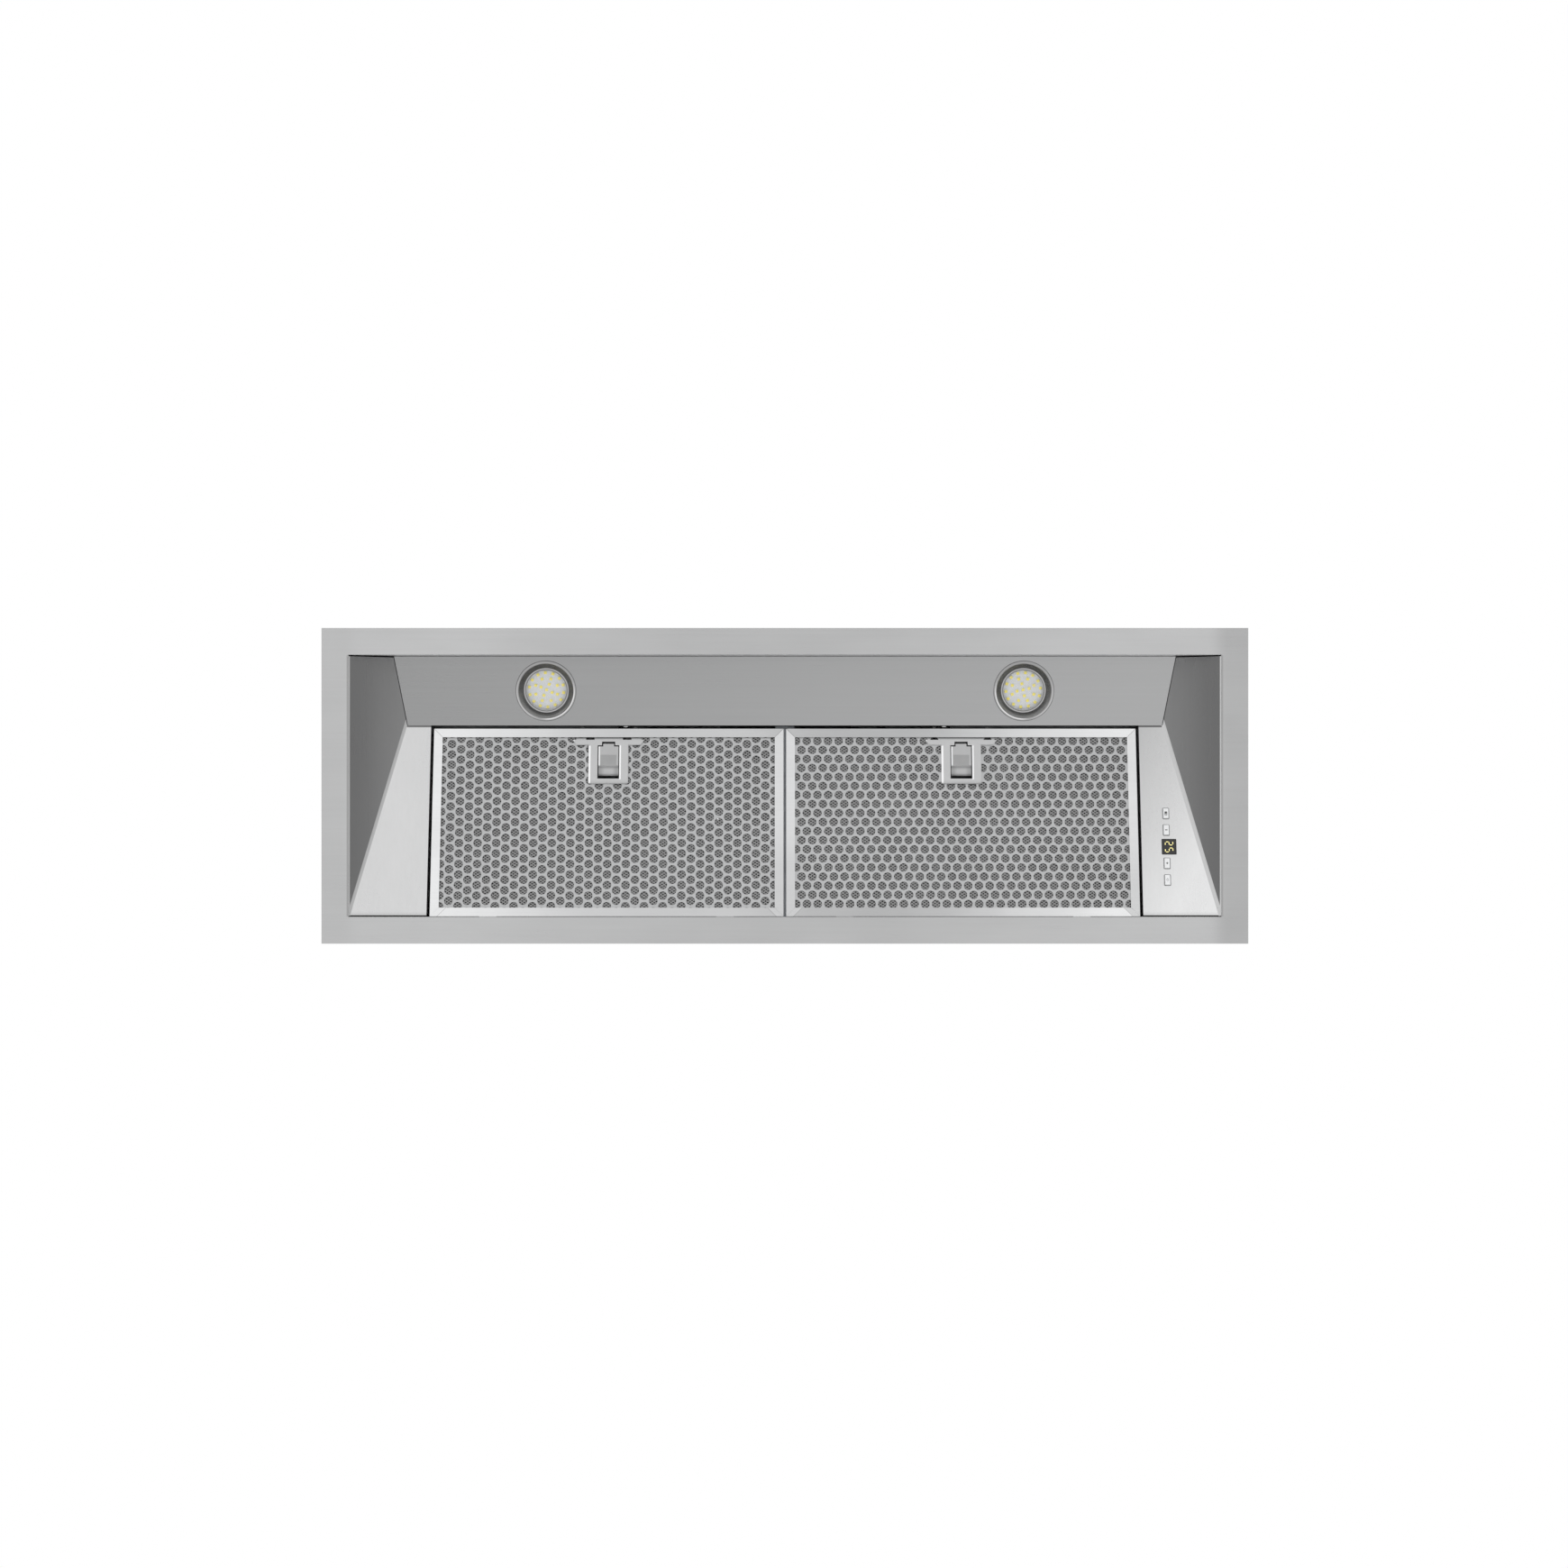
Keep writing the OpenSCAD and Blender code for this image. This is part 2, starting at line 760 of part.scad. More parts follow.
module scroll_outline(t, top) {
  first = scroll_point(cutoff, t);
  next = scroll_point(cutoff + scroll_step, t);
  wall = duct_left - wheel_y - t;
  corner = first + (first.x - wall) / (first.x - next.x) * (next - first);
  translate([wheel_y, wheel_z]) polygon(concat([corner],
    [for (a = [cutoff + scroll_step:scroll_step:360]) scroll_point(a, t)],
    [[duct_right - wheel_y + t, top - wheel_z], [wall, top - wheel_z]]));
}

module scroll_wrap() {
  top = z_roof - sheet - gap;
  color(zinc) along_x(-scroll_half, scroll_half) difference() {
    scroll_outline(sheet, top);
    scroll_outline(0, top + cut);
  }
}

// Cheek of the blower casing with its inlet and inlet lip, on the right
module scroll_side_shape() {
  along_x(scroll_half, scroll_half + sheet) difference() {
    scroll_outline(sheet, z_roof - sheet - gap);
    translate([wheel_y, wheel_z]) circle(inlet_r);
  }
  along_x(scroll_half - inlet_lip, scroll_half + sheet) translate([wheel_y, wheel_z]) difference() {
    circle(inlet_r + sheet);
    circle(inlet_r);
  }
}

module scroll_side_left() {
  color(zinc) mirror([1, 0, 0]) scroll_side_shape();
}

module scroll_side_right() {
  color(zinc) scroll_side_shape();
}

// Curved blade from the inner to the outer blade radius
module blade() {
  steps = 3;
  line = [for (i = [0:steps])
    let (r = blade_in + (blade_out - blade_in) * i / steps, a = blade_lean * pow(i / steps, 2))
    r * [cos(a), sin(a)]];
  back = [for (i = [steps:-1:0])
    let (r = blade_in + (blade_out - blade_in) * i / steps, a = blade_lean * pow(i / steps, 2))
    r * [cos(a), sin(a)] + blade_t * [-sin(a), cos(a)]];
  polygon(concat(line, back));
}

module blade_ring(x0, x1) {
  along_x(x0, x1) translate([wheel_y, wheel_z])
    for (k = [0:blade_count - 1]) rotate(k * 360 / blade_count) blade();
}

module end_ring(x0) {
  along_x(x0, x0 + ring_t) translate([wheel_y, wheel_z]) difference() {
    circle(wheel_r, $fn = wheel_fn);
    circle(wheel_r - ring_w, $fn = wheel_fn);
  }
}

// The wheel takes air in at both ends: a blade ring on each side of its disc
module impeller_left() {
  color(plastic_black) {
    blade_ring(-wheel_w / 2, -disc_t);
    end_ring(-wheel_w / 2);
  }
}

module impeller_right() {
  color(plastic_black) {
    blade_ring(0, wheel_w / 2);
    end_ring(wheel_w / 2 - ring_t);
  }
}

module impeller_disc() {
  color(plastic_black) {
    along_x(-disc_t, 0) translate([wheel_y, wheel_z]) difference() {
      circle(disc_r, $fn = wheel_fn);
      circle(shaft_r, $fn = shaft_fn);
    }
    along_x(-hub_l, disc_t) translate([wheel_y, wheel_z]) difference() {
      circle(hub_r);
      circle(shaft_r, $fn = shaft_fn);
    }
  }
}

module motor_shaft() {
  color(steel) along_x(-shaft_tail, motor_x + motor_l) translate([wheel_y, wheel_z])
    circle(shaft_r, $fn = shaft_fn);
}

module motor_body() {
  color(aluminium) difference() {
    along_x(motor_x, motor_x + motor_l) translate([wheel_y, wheel_z]) circle(motor_r);
    along_x(motor_x - cut, motor_x + motor_l + cut) translate([wheel_y, wheel_z])
      circle(motor_bore_r);
    along_x(motor_x - cut, motor_x + bearing_l) translate([wheel_y, wheel_z]) circle(bearing_r);
    along_x(motor_x + motor_l - bearing_l, motor_x + motor_l + cut) translate([wheel_y, wheel_z])
      circle(bearing_r);
  }
}

module motor_bearings() {
  color(steel) for (x0 = [motor_x, motor_x + motor_l - bearing_l])
    along_x(x0, x0 + bearing_l) translate([wheel_y, wheel_z]) difference() {
      circle(bearing_r);
      circle(shaft_r + bearing_gap);
    }
}

// Bushes between the motor's end face and the bracket
module motor_bushes() {
  color(plastic_black) for (k = [0:arm_count - 1])
    along_x(motor_x + motor_l, scroll_half + sheet + gap) translate([wheel_y, wheel_z])
      rotate(arm_turn + k * 360 / arm_count) translate([bush_ring_r, 0]) circle(bush_r);
}

module motor_bracket() {
  x0 = scroll_half + sheet + gap;
  color(zinc) along_x(x0, x0 + arm_t) translate([wheel_y, wheel_z]) difference() {
    union() {
      circle(motor_r);
      for (k = [0:arm_count - 1]) rotate(arm_turn + k * 360 / arm_count)
        translate([0, -arm_w / 2]) square([arm_reach, arm_w]);
    }
    circle(bracket_ring_in);
  }
}

// Electrics
module capacitor() {
  color(aluminium) translate([capacitor_x, 0, tray_h])
    cylinder(h = capacitor_h, r = capacitor_r);
}

module terminal_box() {
  color(plastic_light) translate([terminal_x, 0, 0]) difference() {
    block(terminal_w, terminal_d, tray_h, tray_h + terminal_h);
    block(terminal_w - 2 * terminal_wall, terminal_d - 2 * terminal_wall,
      tray_h + terminal_wall, tray_h + terminal_h + cut);
    translate([0, 0, tray_h - cut]) cylinder(h = terminal_wall + 2 * cut, r = gland_bore_r);
    translate([0, terminal_d / 2 - terminal_wall - cut, tray_h + terminal_h / 2])
      rotate([-90, 0, 0]) cylinder(h = terminal_wall + 2 * cut, r = gland_r - cut + run_gap);
  }
}

module terminal_cover() {
  skirt_w = terminal_w - 2 * terminal_wall - 2 * gap;
  skirt_d = terminal_d - 2 * terminal_wall - 2 * gap;
  top = tray_h + terminal_h;
  color(plastic_light) translate([terminal_x, 0, 0]) difference() {
    union() {
      block(terminal_w, terminal_d, top, top + cover_t);
      block(skirt_w, skirt_d, top - cover_skirt, top + cover_t / 2);
    }
    block(skirt_w - 2 * terminal_wall, skirt_d - 2 * terminal_wall, top - cover_skirt - cut, top);
  }
}

// Gland on the back of the terminal box, with its bore along Y
module cable_gland() {
  color(plastic_black)
    translate([terminal_x, terminal_d / 2, tray_h + terminal_h / 2]) rotate([-90, 0, 0])
      difference() {
        union() {
          translate([0, 0, -terminal_wall]) cylinder(h = gland_l, r = gland_r - cut);
          cylinder(h = gland_flange_t, r = gland_flange_r);
          translate([0, 0, gland_l - 2 * terminal_wall - gland_r])
            cylinder(h = gland_r, r = gland_r + cut);
        }
        translate([0, 0, -terminal_wall - cut])
          cylinder(h = gland_l + terminal_wall + 2 * cut, r = gland_bore_r);
      }
}

module led_driver() {
  color(plastic_light)
    bar(driver_w, channel_y - sheet - driver_d, channel_y - sheet, driver_z, driver_z + driver_h);
}

// Cables from the driver to the lamps, straight along the channel
cable_drop = cable_y - (y_front + light_len / 2 * cos(light_tilt)
  - (bezel_tube_h + can_h / 2) * sin(light_tilt));
cable_end = lamp_x - sqrt(pow(bezel_tube_r, 2) - pow(cable_drop, 2)) - gap - cable_r;

module lamp_cables() {
  color(plastic_black) for (s = [0, 1]) mirror([s, 0, 0])
    along_x(driver_w / 2, cable_end) translate([cable_y, cable_z]) circle(cable_r, $fn = cable_fn);
}

// Lamps
module lamp_bezel() {
  rotate_extrude($fn = rim_fn) polygon([
    [bezel_mouth_r, -bezel_lip], [lamp_r - bezel_lip / 2, -bezel_lip], [lamp_r, -bezel_lip / 2],
    [lamp_r, 0], [bezel_mouth_r, 0], [bezel_tube_r, sheet + bezel_lip],
    [bezel_tube_r, bezel_tube_h], [lens_r + gap, bezel_tube_h],
    [lens_r + gap, cone_depth + ledge_h], [lens_r - ledge_w, cone_depth + ledge_h],
    [lens_r - ledge_w, cone_depth], [cone_end_r, cone_depth]]);
}

module lamp_lens() {
  translate([0, 0, cone_depth + ledge_h]) cylinder(h = lens_t, r = lens_r, $fn = rim_fn);
}

module lamp_board() {
  z0 = bezel_tube_h - board_t;
  translate([0, 0, z0]) cylinder(h = board_t, r = lens_r);
  for (ring = chip_ring_shares)
    for (k = [0:ring[0] - 1]) rotate(ring[2] + k * 360 / ring[0])
      translate([ring[1] * lens_r, 0, z0 - chip_t / 2])
        cube([chip_size, chip_size, chip_t * 2], center = true);
}

// Heat sink with grooves, seated on the bezel's tube
module lamp_heat_sink() {
  fin_step = can_h / (fin_count + 1);
  difference() {
    translate([0, 0, bezel_tube_h]) cylinder(h = can_h, r = bezel_tube_r);
    for (k = [1:fin_count])
      translate([0, 0, bezel_tube_h + k * fin_step - fin_groove / 2]) difference() {
        cylinder(h = fin_groove, r = bezel_tube_r + cut);
        translate([0, 0, -cut])
          cylinder(h = fin_groove + 2 * cut, r = bezel_tube_r - fin_depth);
      }
  }
}

// Two bent strips that press on the top of the light panel
module lamp_spring() {
  for (s = [0, 1]) mirror([s, 0, 0]) {
    translate([bezel_tube_r + gap, -spring_arm_w / 2, sheet + gap])
      cube([spring_arm_t, spring_arm_w, spring_arm_rise]);
    translate([bezel_tube_r + gap, -spring_arm_w / 2, sheet + gap])
      cube([spring_arm_reach, spring_arm_w, spring_arm_t]);
  }
}

module lamp_bezels() { color(steel) for (s = [-1, 1]) at_lamp(s) lamp_bezel(); }
module lamp_lenses() { color(glass_white) for (s = [-1, 1]) at_lamp(s) lamp_lens(); }
module lamp_heat_sinks() { color(aluminium) for (s = [-1, 1]) at_lamp(s) lamp_heat_sink(); }
module lamp_boards() { color(glass_white) for (s = [-1, 1]) at_lamp(s) lamp_board(); }
module lamp_springs() { color(steel) for (s = [-1, 1]) at_lamp(s) lamp_spring(); }

// Controls
carrier_h = 4 * button_pitch + button_h + 2 * carrier_end_room;

module control_board() {
  color(board_green) at_control(0) {
    translate([0, 0, board_z + control_board_t / 2])
      cube([carrier_w, carrier_h, control_board_t], center = true);
    for (i = [-2, -1, 1, 2]) translate([0, i * button_pitch, 0]) bar(switch_w, -switch_w / 2,
      switch_w / 2, button_stem_end + button_travel + switch_gap, board_z + control_board_t / 2);
  }
}

module control_carrier() {
  color(plastic_black) at_control(0) translate([0, 0, sheet]) linear_extrude(board_z - sheet)
    difference() {
      square([carrier_w, carrier_h], center = true);
      square([carrier_w - 2 * carrier_wall, carrier_h - 2 * carrier_wall], center = true);
    }
}

module display_module() {
  color(plastic_black) at_control(0) translate([display_shift, 0, sheet + gap])
    linear_extrude(board_z - sheet - gap)
      square([display_w - display_edge, display_h + display_edge], center = true);
}

module display_window() {
  color(plastic_black) at_control(0) translate([display_shift, 0, -gap])
    linear_extrude(sheet + 2 * gap) rounded(display_w, display_h, corner_r);
}

// Button cap with a bevelled face and a collar that keeps it behind the panel
module button(i) {
  color(plastic_light) at_control(i) {
    translate([0, 0, -button_raise]) linear_extrude(button_raise)
      rounded(button_w - 2 * button_bevel, button_h - 2 * button_bevel, corner_r - button_bevel / 2);
    translate([0, 0, -button_raise + button_bevel])
      linear_extrude(button_stem_end + button_raise - button_bevel)
        rounded(button_w, button_h, corner_r);
    translate([0, 0, sheet + gap]) linear_extrude(button_collar_t)
      rounded(button_w + 2 * button_collar, button_h + 2 * button_collar, corner_r);
  }
}

module button_light() { button(-2); }
module button_minus() { button(-1); }
module button_plus() { button(1); }
module button_power() { button(2); }

// Filter pieces: x is measured from the filter's middle, y along the slope from the fold line
module at_filter(s) {
  in_filter_plane() translate([s * filter_x, 0, 0]) children();
}

module filter_frame(s) {
  color(aluminium) difference() {
    union() {
      at_filter(s) bar(filter_w, filter_front_gap, filter_end, 0, frame_t);
      filter_hooks(s);
    }
    at_filter(s) {
      bar(filter_w - 2 * rail, filter_front_gap + rail, filter_end - rail, -cut, frame_t + cut);
      bar(filter_w - 2 * frame_wall, filter_front_gap + frame_wall, filter_end - frame_wall,
        frame_wall, frame_t - frame_wall);
      for (sx = [-1, 1]) translate([sx * nose_x, filter_front_gap, slider_z + slider_t / 2])
        cube([nose_w + 2 * run_gap, 3 * frame_wall, slider_t + 2 * run_gap], center = true);
      mitre_grooves();
    }
  }
}

// Hooks that lie on the flange behind the filter
module filter_hooks(s) {
  y_edge = y_fold + filter_end * cos(filter_tilt);
  for (k = [-1, 1]) translate([s * filter_x + k * hook_spacing / 2, 0, 0])
    bar(hook_w, y_edge - frame_wall / 2, y_edge + hook_reach, sheet + gap, sheet + gap + hook_t);
}

module mitre_grooves() {
  for (sx = [-1, 1], end = [0, 1])
    translate([sx * filter_w / 2, end > 0 ? filter_end : filter_front_gap, 0])
      rotate([0, 0, (end > 0 ? -1 : 1) * (sx > 0 ? 135 : 45)])
        translate([0, -mitre_w / 2, -cut]) cube([rail * sqrt(2) - mitre_w, mitre_w, cut + mitre_depth]);
}

// Clear length and width of the pack inside the frame
pack_w = filter_w - 2 * frame_wall - 2 * pack_gap;
pack_start = filter_front_gap + frame_wall + pack_gap;
pack_end = filter_end - frame_wall - pack_gap;

// Perforated face: columns run along the slope when turned is 0, rows run across when it is 1
module hole_places(turned) {
  mid = (pack_start + pack_end) / 2;
  reach_x = (filter_w / 2 - rail + hole_d / 2) / hole_pitch;
  reach_y = (filter_len / 2 - rail + hole_d / 2) / hole_pitch;
  row = sin(60);
  for (i = [-ceil(reach_x / row):ceil(reach_x / row)], j = [-ceil(reach_y / row):ceil(reach_y / row)])
    let (off = (turned ? j : i) % 2 == 0 ? 0 : 0.5,
      u = turned ? i + off : i * row, v = turned ? j * row : j + off,
      in_latch = abs(u * hole_pitch) < box_outer / 2 + hole_d / 2
        && mid + v * hole_pitch < box_end + hole_d / 2)
    if (abs(u) < reach_x && abs(v) < reach_y && !in_latch)
      translate([u * hole_pitch, mid + v * hole_pitch]) circle(d = hole_d, $fn = hole_fn);
}

box_outer = cavity_w + 2 * box_wall;
box_start = window_start - box_wall / 2;
box_end = window_end + box_wall;

module filter_face(s) {
  color(aluminium) at_filter(s) translate([0, 0, face_z]) linear_extrude(face_t) difference() {
    translate([-pack_w / 2, pack_start]) square([pack_w, pack_end - pack_start]);
    hole_places(s > 0);
    translate([-box_outer / 2 - gap, box_start - gap])
      square([box_outer + 2 * gap, box_end - box_start + 2 * gap]);
  }
}

// Room left in the mesh and the back grid for the latch and its slider
module latch_room() {
  translate([-notch_w / 2, 0]) square([notch_w, box_start]);
  translate([-box_outer / 2 - gap, 0]) square([box_outer + 2 * gap, box_end + gap]);
}

module filter_mesh(s) {
  color(zinc) at_filter(s) translate([0, 0, mesh_z]) linear_extrude(mesh_t) difference() {
    translate([-pack_w / 2, pack_start]) square([pack_w, pack_end - pack_start]);
    latch_room();
  }
}

module filter_grid(s) {
  cell_w = (filter_w - 2 * rail + grid_bar) / grid_columns;
  cell_h = (filter_len - 2 * rail + grid_bar) / grid_rows;
  mid_column = (grid_columns - 1) / 2;
  color(zinc) at_filter(s) translate([0, 0, grid_z]) linear_extrude(grid_t) difference() {
    translate([-pack_w / 2, pack_start]) square([pack_w, pack_end - pack_start]);
    for (i = [0:grid_columns - 1], j = [0:grid_rows - 1])
      if (!(abs(i - mid_column) < 2 && j < 2))
        translate([(i - mid_column) * cell_w - (cell_w - grid_bar) / 2,
          filter_front_gap + rail + j * cell_h])
          square([cell_w - grid_bar, cell_h - grid_bar]);
    latch_room();
  }
}

// Latch bezel: a T with slanted bar ends, a hat shaped window and a box behind the face
module bezel_outline(inset) {
  translate([0, latch_start + latch_h / 2 + bar_h / 4])
    rounded(latch_w - 2 * inset, latch_h - bar_h / 2 - 2 * inset, bezel_round);
  polygon([
    [-latch_bar_w / 2 + inset, latch_start + inset], [latch_bar_w / 2 - inset, latch_start + inset],
    [latch_bar_w / 2 - bar_slant - inset, latch_start + bar_h - inset],
    [-latch_bar_w / 2 + bar_slant + inset, latch_start + bar_h - inset]]);
}

module window_outline(w) {
  translate([-tongue_slot_w / 2, window_start]) square([tongue_slot_w, tongue_slot_h + cut]);
  translate([-w / 2, window_start + tongue_slot_h])
    square([w, window_end - window_start - tongue_slot_h]);
}

module latch_bezel(s) {
  color(steel) at_filter(s) difference() {
    union() {
      translate([0, 0, face_z - bezel_raise - frame_wall]) linear_extrude(bezel_raise)
        bezel_outline(bezel_step);
      translate([0, 0, face_z - bezel_raise]) linear_extrude(bezel_raise) bezel_outline(0);
      translate([-box_outer / 2, box_start, 0]) cube([box_outer, box_end - box_start, mesh_z + box_h]);
    }
    translate([0, 0, -bezel_raise - cut]) linear_extrude(bezel_raise + cut + mesh_z + box_h + cut)
      window_outline(window_w);
    translate([0, 0, face_z]) linear_extrude(mesh_z + box_h + cut) window_outline(cavity_w);
    bar(tongue_w + 2 * gap, box_start - cut, window_start + cut, slider_z - gap,
      slider_z + slider_t + gap);
  }
}

module latch_springs(s) {
  spring_start = bar_start + bar_depth + spring_gap;
  color(steel) at_filter(s) for (sx = [-1, 1])
    translate([sx * spring_x, spring_start, slider_z + slider_t / 2 + spring_r / 2])
      rotate([-90, 0, 0]) difference() {
        cylinder(h = box_start - spring_start, r = spring_r, $fn = hole_fn);
        translate([0, 0, -cut])
          cylinder(h = box_start - spring_start + 2 * cut, r = spring_r - spring_wire, $fn = hole_fn);
      }
}

// Sliding tab with its thumb mark and scoop, joined by a slider to the two noses
module latch_tab(s) {
  color(aluminium) at_filter(s) difference() {
    union() {
      bar(tab_w, tab_start, tab_end, tab_face_z, tab_face_z + tab_t);
      bar(wing_w, tab_start, tab_end, wing_z, tab_face_z + tab_t);
      bar(tongue_w, tab_start - tongue_h, tab_start + cut, tab_face_z, tab_face_z + tab_t);
      bar(tongue_w, bar_start, tab_start, slider_z, slider_z + slider_t);
      bar(2 * bar_reach, bar_start, bar_start + bar_depth, slider_z, slider_z + slider_t);
      for (sx = [-1, 1]) translate([sx * nose_x, 0, 0])
        bar(nose_w, filter_front_gap - nose_reach, bar_start + cut, slider_z, slider_z + slider_t);
    }
    bar(thumb_w, thumb_start, thumb_start + thumb_h, tab_face_z - cut, tab_face_z + thumb_depth);
    translate([-wing_w / 2 - cut, (scoop_start + tab_end) / 2, tab_face_z - scoop_lift])
      rotate([0, 90, 0]) cylinder(h = wing_w + 2 * cut, r = scoop_r);
  }
}

module filter_frame_left() { filter_frame(-1); }
module filter_face_left() { filter_face(-1); }
module filter_mesh_left() { filter_mesh(-1); }
module filter_grid_left() { filter_grid(-1); }
module latch_bezel_left() { latch_bezel(-1); }
module latch_springs_left() { latch_springs(-1); }
module latch_tab_left() { latch_tab(-1); }
module filter_frame_right() { filter_frame(1); }
module filter_face_right() { filter_face(1); }
module filter_mesh_right() { filter_mesh(1); }
module filter_grid_right() { filter_grid(1); }
module latch_bezel_right() { latch_bezel(1); }
module latch_springs_right() { latch_springs(1); }
module latch_tab_right() { latch_tab(1); }

flange_frame();
light_panel();
side_liner_left();
side_liner_right();
channel_wall();
tray_shell();
centre_rail();
mount_brackets();
motor_housing();
housing_front();
housing_back();
sheet_screws();
outlet_collar();
damper_rod();
damper_front();
damper_back();
scroll_wrap();
scroll_side_left();
scroll_side_right();
impeller_left();
impeller_right();
impeller_disc();
motor_shaft();
motor_body();
motor_bearings();
motor_bushes();
motor_bracket();
capacitor();
terminal_box();
terminal_cover();
cable_gland();
led_driver();
lamp_cables();
lamp_bezels();
lamp_lenses();
lamp_heat_sinks();
lamp_boards();
lamp_springs();
control_board();
control_carrier();
display_module();
display_window();
button_light();
button_minus();
button_plus();
button_power();
filter_frame_left();
filter_face_left();
filter_mesh_left();
filter_grid_left();
latch_bezel_left();
latch_springs_left();
latch_tab_left();
filter_frame_right();
filter_face_right();
filter_mesh_right();
filter_grid_right();
latch_bezel_right();
latch_springs_right();
latch_tab_right();
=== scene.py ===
# Undermount range hood, seen from straight below: finishes, fine pieces, studio and camera
import json
import math
import bpy
import numpy as np
from mathutils import Matrix, Vector

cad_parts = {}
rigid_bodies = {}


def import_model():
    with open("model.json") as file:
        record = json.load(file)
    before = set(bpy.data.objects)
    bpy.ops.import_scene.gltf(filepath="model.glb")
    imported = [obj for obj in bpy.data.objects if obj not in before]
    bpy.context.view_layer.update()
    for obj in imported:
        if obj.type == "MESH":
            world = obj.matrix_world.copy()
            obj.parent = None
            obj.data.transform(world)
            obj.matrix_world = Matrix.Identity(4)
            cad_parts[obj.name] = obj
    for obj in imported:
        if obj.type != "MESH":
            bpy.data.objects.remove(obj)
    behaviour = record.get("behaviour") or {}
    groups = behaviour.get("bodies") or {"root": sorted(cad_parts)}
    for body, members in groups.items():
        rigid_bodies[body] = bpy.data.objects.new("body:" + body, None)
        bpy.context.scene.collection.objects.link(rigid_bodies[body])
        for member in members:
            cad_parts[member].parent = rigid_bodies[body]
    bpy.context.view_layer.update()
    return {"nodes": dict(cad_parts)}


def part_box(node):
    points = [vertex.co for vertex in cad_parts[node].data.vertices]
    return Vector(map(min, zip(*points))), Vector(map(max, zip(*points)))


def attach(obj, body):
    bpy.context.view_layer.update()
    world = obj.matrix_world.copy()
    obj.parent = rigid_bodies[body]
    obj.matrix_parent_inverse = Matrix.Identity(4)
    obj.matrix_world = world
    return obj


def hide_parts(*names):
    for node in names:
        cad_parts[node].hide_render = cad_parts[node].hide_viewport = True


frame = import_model()
nodes = frame["nodes"]
bpy.ops.object.select_all(action="DESELECT")

MM = 0.001
SIDES = ("left", "right")
# The photograph's width in pixels, and how much of the flange one of them shows
PHOTO_WIDTH = 1740
PIXEL = 0.8362 * MM
# Sizes of the part that its finishes follow: flange strip, foot of a liner, rail of a filter
FLANGE_STRIP = 25 * MM
FOOT_WIDTH = 8 * MM
RAIL_WIDTH = 8.2 * MM


def points_of(mesh):
    """Corners of a mesh, one row each."""
    points = np.zeros(len(mesh.vertices) * 3)
    mesh.vertices.foreach_get("co", points)
    return points.reshape(-1, 3)


class Value:
    """A shader socket that Python's operators work on."""

    def __init__(self, sheet, socket):
        self.sheet = sheet
        self.socket = socket

    def _math(self, operation, first, second=0.0):
        """A Math node on two values."""
        inputs = {0: first, 1: second}
        return self.sheet.node("ShaderNodeMath", {"operation": operation}, inputs)

    def __add__(self, other):
        return self._math("ADD", self, other)

    def __sub__(self, other):
        return self._math("SUBTRACT", self, other)

    def __mul__(self, other):
        return self._math("MULTIPLY", self, other)

    def __truediv__(self, other):
        return self._math("DIVIDE", self, other)

    def __pow__(self, other):
        return self._math("POWER", self, other)

    def __rsub__(self, other):
        return self._math("SUBTRACT", other, self)

    def __neg__(self):
        return self._math("MULTIPLY", self, -1.0)

    def __abs__(self):
        return self._math("ABSOLUTE", self)

    __radd__ = __add__
    __rmul__ = __mul__

    def most(self, other):
        """The larger of this value and another."""
        return self._math("MAXIMUM", self, other)

    def least(self, other):
        """The smaller of this value and another."""
        return self._math("MINIMUM", self, other)

    def ramp(self, low, high):
        """A smooth step from 0 at low to 1 at high, the other way round if high is less."""
        flip = high < low
        settings = {"interpolation_type": "SMOOTHSTEP"}
        ends = {"From Min": min(low, high), "From Max": max(low, high)}
        if flip:
            ends.update({"To Min": 1.0, "To Max": 0.0})
        return self.sheet.node("ShaderNodeMapRange", settings, {"Value": self, **ends})


class Sheet:
    """A node tree with one method that adds every node."""

    def __init__(self, tree):
        self.tree = tree
        tree.nodes.clear()

    def feed(self, socket, value):
        """Link a value to a socket, or write a number, colour or vector on it."""
        if isinstance(value, Value):
            self.tree.links.new(value.socket, socket)
        else:
            socket.default_value = value

    def node(self, kind, settings=None, inputs=None, output=0):
        """Add a node: its settings first, then its sockets' values or links."""
        node = self.tree.nodes.new(kind)
        for name, value in (settings or {}).items():
            setattr(node, name, value)
        for key, value in (inputs or {}).items():
            self.feed(node.inputs[key], value)
        return Value(self, node.outputs[output] if node.outputs else None)

    def parts(self, vector):
        """The three numbers of a vector."""
        inputs = {"Vector": vector}
        split = self.node("ShaderNodeSeparateXYZ", inputs=inputs)
        outputs = split.socket.node.outputs
        return Value(self, outputs[0]), Value(self, outputs[1]), Value(self, outputs[2])


